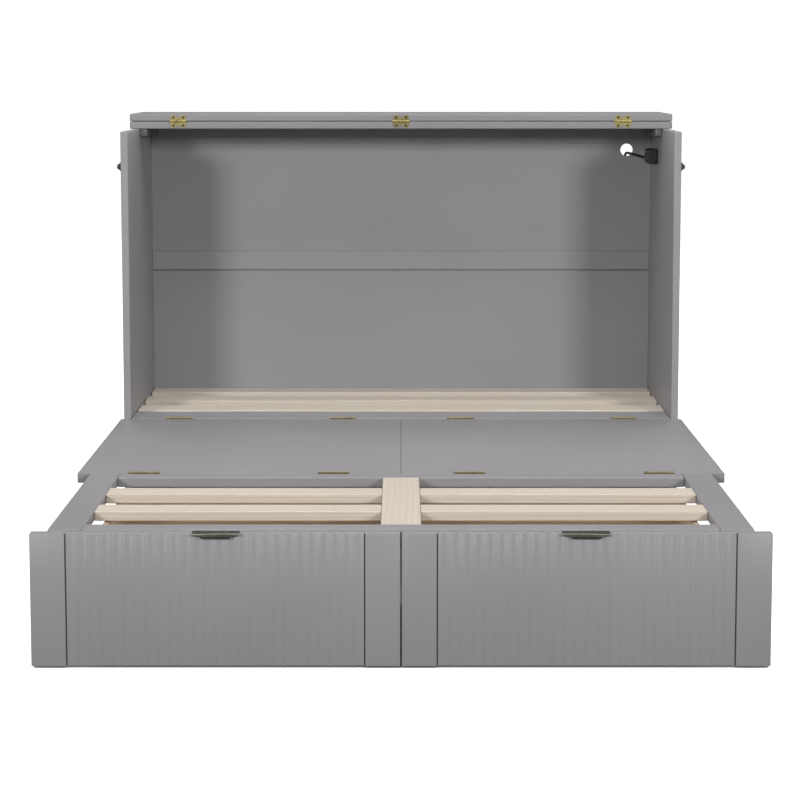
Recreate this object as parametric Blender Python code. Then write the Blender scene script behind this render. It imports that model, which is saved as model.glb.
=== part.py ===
"""Queen-size cabinet bed, unfolded, without its mattress.

A free-standing chest whose front falls forward and unfolds into a slatted
platform.  The top flap turns back onto the fixed rear slab, the middle panels
come down level with the slats in the cabinet, the foot frame swings out beyond
them and rests on two drawers that have been rolled out from under the cabinet.

Metres, +Z up, front towards -Y, +X to the right.  The origin is on the floor
under the centre of the footprint.  Depths below are written as distances from
the folding line (the plane of the cabinet's front edges), negative to the
front; Y() turns them into world Y.
"""
import math

import bmesh
import bpy
from mathutils import Matrix, Vector

# ----------------------------------------------------------------- dimensions
FOLD_Y = 0.46625          # world Y of the folding line
GAP = 0.0003              # clearance left between touching pieces

W_HALF = 0.815            # half width of middle panels, drawer fronts and top
CAB_HALF = 0.8065         # outer half width of the cabinet sides
SIDE_T = 0.0205           # side panel thickness
CAB_D = 0.590             # cabinet depth behind the folding line
BACK_Y = 0.575            # inner face of the cabinet's back
SIDE_TOP = 1.1355         # top of the side panels
SLAB_T = 0.022            # top slab thickness
SLAB_Z = 1.136            # underside of the fixed rear slab
SEAM = 0.001              # gap between the stacked slabs
SLAB_FRONT = 0.281        # front edge of the fixed rear slab

BED_Z = 0.302             # top of the platform
BOARD_T = 0.025           # thickness of the platform boards
LEAF_SEAM = 0.0036        # seam in which two hinge leaves lie
PIN_UP = 0.002            # platform hinge pins above the platform top
MID_LEN = 0.8224          # middle panels, fore and aft
FOOT_FRONT = -1.470       # front edge of the foot frame
FOOT_HALF = 0.782         # half width of the foot frame
FOOT_SIDE_IN = 0.7065     # inner edge of its side rails
BEAM_HALF = 0.045         # half width of its centre beam

FRONT_Y = -1.513          # drawer front, outer face
FRONT_T = 0.025           # drawer front thickness
FRONT_Z0 = 0.004          # drawer front clears the floor
STILE_W = 0.080           # plain stiles at both ends of a fluted panel
FLUTE_N = 26              # flutes across one panel
FLUTE_DEEP = 0.0012       # depth of one flute
PANEL_BACK = 0.0022       # the fluted field lies behind the stiles
STOW = 1.4825             # travel of the drawers to the stowed position

BOX_OUT = 0.684           # drawer box, outer side
BOX_IN = 0.018            # drawer box, side next to the divider
BOX_REAR = -0.945         # rear face of the drawer box
BOX_TOP = 0.2765
BOX_FOOT = 0.0065         # the box walls stop just above the floor and hold the axles
BOX_T = 0.012
WHEEL_R = 0.018
WHEEL_W = 0.014
AXLE_R = 0.003
AXLES = ((-1.435, "front"), (-1.005, "rear"))

HINGE_X = (-0.647, -0.170, 0.173, 0.649)
LID_HINGE_X = (-0.669, 0.0, 0.667)
LATCH_Y, LATCH_Z = 0.030, 1.034
STUD_ARM = 0.0463         # latch pivot to the stud's neck

CORD_R = 0.004
HOLE_X, HOLE_Z, HOLE_R = 0.7105, 1.062, 0.0195

PIN1 = (-LEAF_SEAM / 2, BED_Z + PIN_UP)
MID_FRONT = -LEAF_SEAM - MID_LEN
PIN2 = (MID_FRONT - LEAF_SEAM / 2, BED_Z + PIN_UP)
FOOT_REAR = MID_FRONT - LEAF_SEAM
LID_PIN = (SLAB_FRONT - 0.002, SLAB_Z + SLAB_T + SEAM / 2)


def Y(depth):
    return FOLD_Y + depth


# ------------------------------------------------------------------ workspace
for old in list(bpy.data.objects):
    bpy.data.objects.remove(old, do_unlink=True)


def material(name, colour, rough, metal=0.0):
    m = bpy.data.materials.new(name)
    m.use_nodes = True
    b = m.node_tree.nodes["Principled BSDF"]
    b.inputs["Base Color"].default_value = (*colour, 1.0)
    b.inputs["Roughness"].default_value = rough
    b.inputs["Metallic"].default_value = metal
    m.diffuse_color = (*colour, 1.0)
    return m


GREY = material("grey_paint", (0.27, 0.268, 0.275), 0.42)
PINE = material("pine", (0.69, 0.60, 0.47), 0.6)
PLY = material("plywood", (0.52, 0.40, 0.27), 0.65)
BRASS = material("brass", (0.60, 0.44, 0.17), 0.32, 1.0)
STEEL = material("zinc_steel", (0.55, 0.55, 0.56), 0.35, 1.0)
GUN = material("gunmetal", (0.085, 0.08, 0.07), 0.38, 1.0)
BLACK = material("black_plastic", (0.016, 0.016, 0.017), 0.42)
NYLON = material("wheel_nylon", (0.05, 0.05, 0.055), 0.5)
FELT = material("glide_plastic", (0.62, 0.60, 0.56), 0.6)
CABLE = material("cable_sheath", (0.02, 0.02, 0.021), 0.5)


def pivot(name, depth, z, x=0.0):
    e = bpy.data.objects.new(name, None)
    e.location = (x, Y(depth), z)
    e.empty_display_size = 0.05
    bpy.context.scene.collection.objects.link(e)
    return e


ROOT = pivot("cabinet_pivot", 0.0, 0.0)
LID = pivot("top_flap_pivot", *LID_PIN)
MID = pivot("middle_pivot", *PIN1)
FOOT = pivot("foot_pivot", *PIN2)
DRAWER = {
    -1: pivot("drawer_left_pivot", FRONT_Y, 0.0, -0.406),
    1: pivot("drawer_right_pivot", FRONT_Y, 0.0, 0.406),
}


def place(name, bm, mat, parent=ROOT, smooth=None):
    """Turns a bmesh in world metres into a named object under its pivot."""
    bmesh.ops.recalc_face_normals(bm, faces=bm.faces)
    o = parent.location
    for v in bm.verts:
        v.co -= o
    me = bpy.data.meshes.new(name)
    bm.to_mesh(me)
    bm.free()
    ob = bpy.data.objects.new(name, me)
    ob.parent = parent
    bpy.context.scene.collection.objects.link(ob)
    me.materials.append(mat)
    if smooth is not None:
        me.shade_smooth()
        me.set_sharp_from_angle(angle=math.radians(smooth))
    return ob


def bevel(ob, width, segments=1, angle=40):
    m = ob.modifiers.new("edges", "BEVEL")
    m.width = width
    m.segments = segments
    m.limit_method = "ANGLE"
    m.angle_limit = math.radians(angle)
    return ob


def boolean(ob, tool, operation):
    tool.hide_render = True
    tool.display_type = "WIRE"
    m = ob.modifiers.new(operation.lower(), "BOOLEAN")
    m.operation = operation
    m.solver = "EXACT"
    m.object = tool
    return ob


def add_box(bm, x0, x1, d0, d1, z0, z1):
    """Adds a box; d0 and d1 are depths from the folding line."""
    x0, x1 = sorted((x0, x1))
    y0, y1 = sorted((Y(d0), Y(d1)))
    v = [bm.verts.new((x, y, z)) for x in (x0, x1) for y in (y0, y1) for z in (z0, z1)]
    for f in ((0, 1, 3, 2), (4, 6, 7, 5), (0, 4, 5, 1), (2, 3, 7, 6), (0, 2, 6, 4), (1, 5, 7, 3)):
        bm.faces.new([v[i] for i in f])


def board(name, x0, x1, d0, d1, z0, z1, mat, parent=ROOT, edge=0.0015, segments=1):
    bm = bmesh.new()
    add_box(bm, x0, x1, d0, d1, z0, z1)
    ob = place(name, bm, mat, parent)
    if edge:
        bevel(ob, edge, segments)
    return ob


def boards(name, boxes, mat, parent=ROOT, edge=0.0015):
    bm = bmesh.new()
    for b in boxes:
        add_box(bm, *b)
    ob = place(name, bm, mat, parent)
    if edge:
        bevel(ob, edge, 1)
    return ob


def add_prism(bm, outline, lo, hi, to_world):
    """Extrudes a closed outline; to_world maps (u, v, w) to world metres."""
    a = [bm.verts.new(to_world(u, v, lo)) for u, v in outline]
    b = [bm.verts.new(to_world(u, v, hi)) for u, v in outline]
    n = len(outline)
    bm.faces.new(a)
    bm.faces.new(list(reversed(b)))
    for i in range(n):
        j = (i + 1) % n
        bm.faces.new((a[i], b[i], b[j], a[j]))


def add_turned(bm, profile, centre, axis, n=16, phase=0.0):
    """Turns a profile of (along, radius) about an axis 'x', 'y' or 'z'."""
    ax = {"x": Vector((1, 0, 0)), "y": Vector((0, 1, 0)), "z": Vector((0, 0, 1))}[axis]
    u = {"x": Vector((0, 1, 0)), "y": Vector((0, 0, 1)), "z": Vector((1, 0, 0))}[axis]
    w = ax.cross(u)
    c = Vector(centre)
    rings = []
    for along, r in profile:
        if r < 1e-6:
            rings.append([bm.verts.new(c + ax * along)])
        else:
            rings.append([
                bm.verts.new(
                    c + ax * along
                    + (u * math.cos(2 * math.pi * (k + phase) / n) + w * math.sin(2 * math.pi * (k + phase) / n)) * r
                )
                for k in range(n)
            ])
    for a, b in zip(rings, rings[1:]):
        for k in range(n):
            j = (k + 1) % n
            if len(a) == 1:
                bm.faces.new((a[0], b[j], b[k]))
            elif len(b) == 1:
                bm.faces.new((a[k], a[j], b[0]))
            else:
                bm.faces.new((a[k], a[j], b[j], b[k]))
    if len(rings[0]) > 1:
        bm.faces.new(list(reversed(rings[0])))
    if len(rings[-1]) > 1:
        bm.faces.new(rings[-1])


def add_ring(bm, lo, hi, ro, ri, centre, axis="x", n=12, phase=0.5):
    """A tube with a through bore, closed all round."""
    ax = {"x": Vector((1, 0, 0)), "y": Vector((0, 1, 0)), "z": Vector((0, 0, 1))}[axis]
    u = {"x": Vector((0, 1, 0)), "y": Vector((0, 0, 1)), "z": Vector((1, 0, 0))}[axis]
    w = ax.cross(u)
    c = Vector(centre)

    def circle(along, r):
        return [
            bm.verts.new(
                c + ax * along
                + (u * math.cos(2 * math.pi * (k + phase) / n) + w * math.sin(2 * math.pi * (k + phase) / n)) * r
            )
            for k in range(n)
        ]

    loops = [circle(lo, ro), circle(hi, ro), circle(hi, ri), circle(lo, ri)]
    for a, b in zip(loops, loops[1:] + loops[:1]):
        for k in range(n):
            j = (k + 1) % n
            bm.faces.new((a[k], a[j], b[j], b[k]))


# ------------------------------------------------------------------- cabinet
for side, label in ((-1, "left"), (1, "right")):
    board(f"side_panel_{label}", side * (CAB_HALF - SIDE_T), side * CAB_HALF,
          0.0, CAB_D, 0.0, SIDE_TOP, GREY, edge=0.0018)

IN = CAB_HALF - SIDE_T - GAP          # half width left for pieces between the sides

# upper back panel with a round hole for the power lead
upper = board("back_panel_upper", -IN, IN, BACK_Y + 0.0015, BACK_Y + 0.0105, 0.7433, 1.0832, GREY, edge=0)
bm = bmesh.new()
add_turned(bm, ((-0.02, HOLE_R), (0.02, HOLE_R)), (HOLE_X, Y(BACK_Y + 0.006), HOLE_Z), "y", 24)
boolean(upper, place("cable_hole_cutter", bm, GREY), "DIFFERENCE")
board("back_top_rail", -IN, IN, BACK_Y, CAB_D, 1.0835, 1.1352, GREY)
# the middle rail has a tongue behind the shadow gap over the lower panel
bm = bmesh.new()
add_prism(bm, ((BACK_Y, 0.684), (BACK_Y + 0.009, 0.684), (BACK_Y + 0.009, 0.668), (CAB_D, 0.668),
               (CAB_D, 0.743), (BACK_Y, 0.743)), -IN, IN, lambda u, v, w: (w, Y(u), v))
place("back_mid_rail", bm, GREY)
board("back_panel_lower", -IN, IN, BACK_Y + 0.0005, BACK_Y + 0.0085, 0.020, 0.6795, GREY, edge=0.001)

# fixed rear slab of the top; its hinge leaves are joined on further down
slab_rear = board("top_slab_rear", -W_HALF, W_HALF, SLAB_FRONT, CAB_D, SLAB_Z, SLAB_Z + SLAB_T, GREY,
                  edge=0.003, segments=2)
for s, label in ((-1, "left"), (1, "right")):
    board(f"top_slab_cleat_{label}", s * 0.764, s * IN, SLAB_FRONT + 0.006, BACK_Y - 0.0005, 1.114, SLAB_Z - GAP, GREY)

# platform inside the cabinet
head_rail = board("head_front_rail", -IN, IN, 0.0, 0.128, 0.280, BED_Z, GREY, edge=0.0025, segments=2)
for s, label in ((-1, "left"), (1, "right")):
    board(f"head_side_cleat_{label}", s * 0.762, s * IN, 0.1285, BACK_Y - 0.001, 0.255, 0.2797, PINE)
for a, label in ((0.138, "front"), (0.315, "middle"), (0.4838, "rear")):
    board(f"head_slat_{label}", -IN + 0.002, IN - 0.002, a, a + 0.090, 0.280, 0.305, PINE, edge=0.002)
board("centre_divider", -0.010, 0.010, 0.020, BACK_Y - 0.001, 0.0, 0.2797, GREY, edge=0.0012)

# power outlet on the right side panel's inner face
OUT_X0, OUT_X1 = 0.7555, IN
OUT_D0, OUT_D1 = 0.383, 0.453
outlet = board("power_outlet", OUT_X0 - 0.0033, OUT_X1, OUT_D0, OUT_D1, 1.026, 1.072, BLACK, edge=0.004, segments=2)
bm = bmesh.new()
for od in (0.405, 0.431):
    for dz in (-0.0065, 0.0065):
        add_box(bm, OUT_X0 - 0.01, OUT_X0 + 0.004, od - 0.004, od + 0.004, 1.049 + dz - 0.0011, 1.049 + dz + 0.0011)
boolean(outlet, place("socket_slot_cutter", bm, BLACK), "DIFFERENCE")
CORD_X0, CORD_Z0 = 0.768, 1.040
bm = bmesh.new()
add_turned(bm, ((GAP, 0.0075), (0.003, 0.0075), (0.004, 0.0065), (0.025, 0.0048)),
           (CORD_X0, Y(OUT_D1), CORD_Z0), "y", 12)
place("cord_strain_relief", bm, BLACK, smooth=35)


# ---------------------------------------------------------------- power lead
def smooth_route(points, step):
    """Reads a Catmull-Rom curve through the points at an even spacing."""
    dense = []
    p = [points[0]] + points + [points[-1]]
    for i in range(1, len(p) - 2):
        p0, p1, p2, p3 = p[i - 1:i + 3]
        for k in range(24):
            t = k / 24
            dense.append(0.5 * ((2 * p1) + (p2 - p0) * t + (2 * p0 - 5 * p1 + 4 * p2 - p3) * t * t
                                + (3 * p1 - p0 - 3 * p2 + p3) * t ** 3))
    dense.append(points[-1])
    length = sum((b - a).length for a, b in zip(dense, dense[1:]))
    count = max(2, round(length / step))
    out, walked, target = [dense[0]], 0.0, length / count
    for a, b in zip(dense, dense[1:]):
        seg = (b - a).length
        while seg > 0 and walked + seg >= target - 1e-9 and len(out) < count:
            out.append(a.lerp(b, (target - walked) / seg))
            target += length / count
        walked += seg
    out.append(dense[-1])
    return out, length


COIL_R = 0.045                                    # middle of the turns
COIL_X, COIL_D = 0.640, 0.620 + COIL_R            # coil centre, on the floor behind
HANG_D = 0.620                                    # the lead hangs behind the back


def cord_points():
    """The stretch from the outlet through the hole and down to the coil."""
    p = [(CORD_X0, OUT_D1 + 0.0262, CORD_Z0), (CORD_X0 - 0.0006, OUT_D1 + 0.040, CORD_Z0 + 0.0002),
         (0.7605, 0.512, 1.0418), (0.7465, 0.5345, 1.0450), (0.7305, 0.5535, 1.0490), (0.7175, 0.5700, 1.0520),
         (0.7105, 0.5850, 1.0518), (0.7085, 0.6000, 1.0445), (0.7082, 0.6115, 1.0300), (0.7085, 0.6180, 1.0080),
         (0.7090, HANG_D, 0.970), (0.7098, HANG_D + 0.0010, 0.80), (0.7104, HANG_D + 0.0015, 0.60),
         (0.7106, HANG_D + 0.0012, 0.40), (0.7104, HANG_D + 0.0006, 0.20), (0.7098, HANG_D, 0.090),
         (0.7078, HANG_D, 0.052), (0.7010, HANG_D, 0.0225), (0.6900, HANG_D, 0.0085), (0.6765, HANG_D, CORD_R + 0.0003),
         (COIL_X + 0.0295, HANG_D, CORD_R + 0.0002)]
    return [Vector((x, Y(d), z)) for x, d, z in p]


route, CORD_RUN = smooth_route(cord_points(), 0.0235)
curve = bpy.data.curves.new("power_cord", "CURVE")
curve.dimensions = "3D"
curve.bevel_depth = CORD_R
curve.bevel_resolution = 2
curve.use_fill_caps = True
spline = curve.splines.new("POLY")
spline.points.add(len(route) - 1)
for q, co in zip(spline.points, route):
    q.co = (*(co - ROOT.location), 1.0)
cord = bpy.data.objects.new("power_cord", curve)
cord.parent = ROOT
bpy.context.scene.collection.objects.link(cord)
curve.materials.append(CABLE)

bm = bmesh.new()
add_ring(bm, 0.0002, 0.0167, COIL_R + CORD_R + 0.0002, COIL_R - CORD_R - 0.0002,
         (COIL_X, Y(COIL_D), 0.0), "z", 28)
place("cord_coil", bm, CABLE, smooth=35)
# two-pin plug lying on the floor beyond the coil, its lead end towards the coil
PLUG_Z, PLUG_D = 0.0125, COIL_D + COIL_R
bm = bmesh.new()
plug_x = COIL_X + 0.0335
add_box(bm, plug_x + 0.014, plug_x + 0.046, PLUG_D - 0.0125, PLUG_D + 0.0125, 0.0003, 0.0247)
plug = place("cord_plug", bm, BLACK)
bevel(plug, 0.004, 2)
bm = bmesh.new()
add_turned(bm, ((0.0, 0.0050), (0.014, 0.0080), (0.018, 0.0080)), (plug_x, Y(PLUG_D), PLUG_Z), "x", 12)
boolean(plug, place("plug_neck_tool", bm, BLACK), "UNION")
bm = bmesh.new()
for s in (-1, 1):
    add_box(bm, plug_x + 0.040, plug_x + 0.064, PLUG_D + s * 0.0064 - 0.0008, PLUG_D + s * 0.0064 + 0.0008,
            PLUG_Z - 0.0032, PLUG_Z + 0.0032)
boolean(plug, place("plug_blade_tool", bm, STEEL), "UNION")


# --------------------------------------------------------------------- hinges
# Butt hinges whose pins lie along X.  normal and along are unit (depth, z)
# directions: a leaf lies off the pin along normal and runs away from it along
# 'along'.  The moving leaf has the middle knuckle, with the pin peened into it;
# the fixed leaf has the two outer knuckles and is let into its board's edge.
def leaf_outline(width, length, barrel, middle):
    k1, k2, c = width / 3, 2 * width / 3, 0.0003
    high, low = barrel[1] + 0.0004, barrel[0] + 0.0005
    if middle:
        return ((0, length), (width, length), (width, low), (k2 - c, low), (k2 - c, high), (k1 + c, high),
                (k1 + c, low), (0, low))
    return ((0, length), (width, length), (width, high), (k2 + c, high), (k2 + c, low), (k1 - c, low),
            (k1 - c, high), (0, high))


def hinge_frame(pin, normal, along):
    def world(x, a, n):
        return (x, Y(pin[0] + along[0] * a + normal[0] * n), pin[1] + along[1] * a + normal[1] * n)
    return world


def let_in_leaves(ob, xs, width, pin, normal, along, plate, barrel, length):
    """Joins fixed leaves, each with its two outer knuckles, to a board."""
    world = hinge_frame(pin, normal, along)
    plates, rings = bmesh.new(), bmesh.new()
    k1, k2, c = width / 3, 2 * width / 3, 0.0003
    for hx in xs:
        x0 = hx - width / 2
        add_prism(plates, leaf_outline(width, length, barrel, False), plate[0], plate[1],
                  lambda u, v, w: world(x0 + u, v, w))
        for a, b in ((0, k1 - c), (k2 + c, width)):
            add_ring(rings, a, b, barrel[0], barrel[1], (x0, Y(pin[0]), pin[1]), "x", 8, 0.5)
    boolean(ob, place(ob.name + "_leaf_tool", plates, BRASS, ob.parent), "UNION")
    boolean(ob, place(ob.name + "_knuckle_tool", rings, BRASS, ob.parent), "UNION")


def moving_leaf(name, hx, width, pin, normal, along, plate, barrel, pin_r, length, parent):
    world = hinge_frame(pin, normal, along)
    k1, k2, c = width / 3, 2 * width / 3, 0.0003
    x0 = hx - width / 2
    bm = bmesh.new()
    add_prism(bm, leaf_outline(width, length, barrel, True), plate[0], plate[1], lambda u, v, w: world(x0 + u, v, w))
    ob = place(name, bm, BRASS, parent)
    bm = bmesh.new()
    add_turned(bm, ((-0.001, pin_r * 0.7), (0.0, pin_r), (k1 + c, pin_r), (k1 + c + 0.00001, barrel[0]),
                    (k2 - c - 0.00001, barrel[0]), (k2 - c, pin_r), (width, pin_r), (width + 0.001, pin_r * 0.7)),
               (x0, Y(pin[0]), pin[1]), "x", 8, 0.5)
    boolean(ob, place(name + "_pin_tool", bm, BRASS, parent), "UNION")


PLATE = (0.00025, 0.0015)
LET_IN = (0.00025, 0.0030)
BARREL = (0.0032, 0.00175)
LEAF_W, LEAF_L = 0.076, 0.021
let_in_leaves(head_rail, HINGE_X, LEAF_W, PIN1, (1, 0), (0, -1), LET_IN, BARREL, LEAF_L)
for k, hx in enumerate(HINGE_X):
    moving_leaf(f"head_hinge_{k + 1}", hx, LEAF_W, PIN1, (-1, 0), (0, -1), PLATE, BARREL, 0.00135, LEAF_L, MID)
    moving_leaf(f"foot_hinge_{k + 1}", hx, LEAF_W, PIN2, (1, 0), (0, -1), PLATE, BARREL, 0.00135, LEAF_L, MID)

LID_BARREL = (0.0027, 0.00155)
LID_W, LID_L = 0.051, 0.0195
let_in_leaves(slab_rear, LID_HINGE_X, LID_W, LID_PIN, (1, 0), (0, -1), (0.0004, 0.0030), LID_BARREL, LID_L)
for hx, label in zip(LID_HINGE_X, ("left", "centre", "right")):
    moving_leaf(f"lid_hinge_{label}", hx, LID_W, LID_PIN, (1, 0), (0, 1), (0.0004, 0.0017), LID_BARREL, 0.00115,
                LID_L, LID)

# ------------------------------------------------------------------- top flap
FLAP_Z = SLAB_Z + SLAB_T + SEAM
board("top_slab_flap", -W_HALF, W_HALF, SLAB_FRONT, CAB_D, FLAP_Z, FLAP_Z + SLAB_T, GREY, LID, edge=0.003, segments=2)


# --------------------------------------------------------------- fluted boards
def fluted_outline(lo, hi, thick, field_back=0.0):
    """Outline of a board with a plain stile at each end and flutes between.

    u runs across the board and v from its back (0) to its face (thick).
    """
    a, b = lo + STILE_W, hi - STILE_W
    groove = 0.0035
    pts = [(lo, 0.0), (hi, 0.0), (hi, thick - 0.0015), (hi - 0.0015, thick)]
    pts += [(b + groove, thick), (b + groove * 0.45, thick - 0.0045), (b, thick - PANEL_BACK)]
    pitch = (b - a) / FLUTE_N
    for i in range(FLUTE_N):
        right = b - i * pitch
        mid, left = right - pitch / 2, right - pitch
        pts += [(mid + pitch * 0.22, thick - PANEL_BACK - FLUTE_DEEP * 0.75),
                (mid, thick - PANEL_BACK - FLUTE_DEEP),
                (mid - pitch * 0.22, thick - PANEL_BACK - FLUTE_DEEP * 0.75),
                (left, thick - PANEL_BACK)]
    pts += [(a - groove * 0.45, thick - 0.0045), (a - groove, thick), (lo + 0.0015, thick), (lo, thick - 0.0015)]
    return pts


# ------------------------------------------------------------- middle section
SEAM_X = 0.0008
for side, label in ((-1, "left"), (1, "right")):
    lo, hi = sorted((side * SEAM_X, side * W_HALF))
    bm = bmesh.new()
    # flutes face down while the bed is open and to the front when it is a chest
    add_prism(bm, fluted_outline(lo, hi, BOARD_T), MID_FRONT, -LEAF_SEAM,
              lambda u, v, w: (u, Y(w), BED_Z - v))
    panel = place(f"middle_panel_{label}", bm, GREY, MID)
    # the top edges next to both hinge lines are eased so the barrels clear
    bm = bmesh.new()
    e = 0.0025
    for at, inward in ((-LEAF_SEAM, -1), (MID_FRONT, 1)):
        add_prism(bm, ((at + inward * e, BED_Z + 0.002), (at + inward * e, BED_Z),
                       (at + inward * e * 0.29, BED_Z - e * 0.29), (at, BED_Z - e),
                       (at - inward * 0.002, BED_Z - e), (at - inward * 0.002, BED_Z + 0.002)),
                  lo - 0.01, hi + 0.01, lambda u, v, w: (w, Y(u), v))
    boolean(panel, place(f"middle_ease_tool_{label}", bm, GREY, MID), "DIFFERENCE")
    # a tongue on the left panel enters a groove in the right one
    bm = bmesh.new()
    if side < 0:
        add_box(bm, -0.006, 0.0115, -0.0410, -0.7890, BED_Z - 0.0155, BED_Z - 0.0095)
        boolean(panel, place("middle_tongue_tool", bm, GREY, MID), "UNION")
    else:
        add_box(bm, -0.01, 0.0121, -0.0400, -0.7900, BED_Z - 0.0160, BED_Z - 0.0090)
        boolean(panel, place("middle_groove_tool", bm, GREY, MID), "DIFFERENCE")
STUD_D = -0.732
for s, label in ((-1, "left"), (1, "right")):
    bm = bmesh.new()
    prof = ((s * (W_HALF + GAP), 0.0050), (s * (W_HALF + 0.0009), 0.0050), (s * (W_HALF + 0.0010), 0.0022),
            (s * (W_HALF + 0.0040), 0.0022), (s * (W_HALF + 0.0041), 0.0036), (s * (W_HALF + 0.0055), 0.0032))
    add_turned(bm, prof if s > 0 else prof[::-1], (0.0, Y(STUD_D), BED_Z - 0.0125), "x", 12)
    place(f"latch_stud_{label}", bm, GUN, MID, smooth=35)

# --------------------------------------------------------------- foot section
Z0 = BED_Z - BOARD_T
for side, label in ((-1, "left"), (1, "right")):
    board(f"foot_rail_{label}", side * FOOT_SIDE_IN, side * FOOT_HALF, FOOT_FRONT, FOOT_REAR, Z0, BED_Z, GREY, FOOT,
          edge=0.0025, segments=2)
FX = FOOT_SIDE_IN - GAP
REAR_W, FRONT_W = 0.0515, 0.052
foot_rear = board("foot_rail_rear", -FX, FX, FOOT_REAR, FOOT_REAR - REAR_W, Z0, BED_Z, GREY, FOOT, edge=0.0025,
                  segments=2)
let_in_leaves(foot_rear, HINGE_X, LEAF_W, PIN2, (-1, 0), (0, -1), LET_IN, BARREL, LEAF_L)
board("foot_rail_front", -FX, FX, FOOT_FRONT, FOOT_FRONT + FRONT_W, Z0, BED_Z, GREY, FOOT, edge=0.002)
# the slats cross the centre beam in half laps, so the beam's top stays whole
SLATS = ((-1.088, "rear"), (-1.282, "front"))
SLAT_W, LAP, SLAT_T = 0.078, 0.013, 0.023
beam = board("foot_centre_beam", -BEAM_HALF, BEAM_HALF, FOOT_FRONT + FRONT_W + GAP, FOOT_REAR - REAR_W - GAP, Z0,
             BED_Z, PINE, FOOT, edge=0.0015)
bm = bmesh.new()
for a, label in SLATS:
    add_box(bm, -0.06, 0.06, a - GAP, a + SLAT_W + GAP, Z0 - 0.01, Z0 + LAP)
boolean(beam, place("beam_lap_cutter", bm, PINE, FOOT), "DIFFERENCE")
for a, label in SLATS:
    slat = board(f"foot_slat_{label}", -FX, FX, a, a + SLAT_W, BED_Z - SLAT_T, BED_Z, PINE, FOOT, edge=0.002)
    bm = bmesh.new()
    add_box(bm, -BEAM_HALF - GAP, BEAM_HALF + GAP, a - 0.01, a + SLAT_W + 0.01, Z0 + LAP - GAP, BED_Z + 0.01)
    boolean(slat, place(f"slat_lap_cutter_{label}", bm, PINE, FOOT), "DIFFERENCE")

# -------------------------------------------------------------------- latches
for side, label in ((-1, "left"), (1, "right")):
    holder = pivot(f"latch_{label}_pivot", LATCH_Y, LATCH_Z, side * CAB_HALF)
    bm = bmesh.new()
    prof = ((GAP, 0.0150), (0.0020, 0.0150), (0.0030, 0.0105), (0.0090, 0.0066), (0.0091, 0.0024),
            (0.0124, 0.0024), (0.0125, 0.0060), (0.0138, 0.0052), (0.0144, 0.0030))
    prof = tuple((side * a, r) for a, r in prof)
    add_turned(bm, prof if side > 0 else prof[::-1], (side * CAB_HALF, Y(LATCH_Y), LATCH_Z), "x", 16)
    base = place(f"latch_base_{label}", bm, GUN, smooth=35)
    # stop peg that the turned-back hook lies on
    bm = bmesh.new()
    add_turned(bm, ((0.0010, 0.0015), (0.0118, 0.0015)), (0.0, Y(LATCH_Y + 0.0100), LATCH_Z - 0.0068), "x", 8)
    for v in bm.verts:
        v.co.x = side * (CAB_HALF + v.co.x)
    boolean(base, place(f"latch_peg_tool_{label}", bm, GUN), "UNION")
    # swinging hook, turned back at rest; its mouth leads as it swings over
    L, r, h = STUD_ARM, 0.0068, 0.0031
    arc = [(r * math.cos(a), r * math.sin(a)) for a in (math.pi * (0.5 + k / 6) for k in range(0, 7))]
    hook = arc + [(0.010, -0.0050), (L - 0.010, -0.0055), (L + 0.0025, -0.0072), (L + 0.0062, -0.0050),
                  (L + 0.0078, -0.0010), (L + 0.0078, 0.0062), (L + 0.0052, 0.0068), (L + h, 0.0060),
                  (L + h, 0.0005), (L + h * 0.62, -0.0018), (L, -0.0026), (L - h * 0.62, -0.0018), (L - h, 0.0005),
                  (L - h, 0.0050), (0.010, 0.0050)]
    bm = bmesh.new()
    add_prism(bm, hook, CAB_HALF + 0.0096, CAB_HALF + 0.0119,
              lambda u, v, w: (side * w, Y(LATCH_Y + u), LATCH_Z + v))
    ob = place(f"latch_hook_{label}", bm, GUN, holder)
    bm = bmesh.new()
    add_turned(bm, ((-0.01, 0.0030), (0.01, 0.0030)), (side * (CAB_HALF + 0.0107), Y(LATCH_Y), LATCH_Z), "x", 14)
    boolean(ob, place(f"latch_eye_tool_{label}", bm, GUN, holder), "DIFFERENCE")

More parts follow.
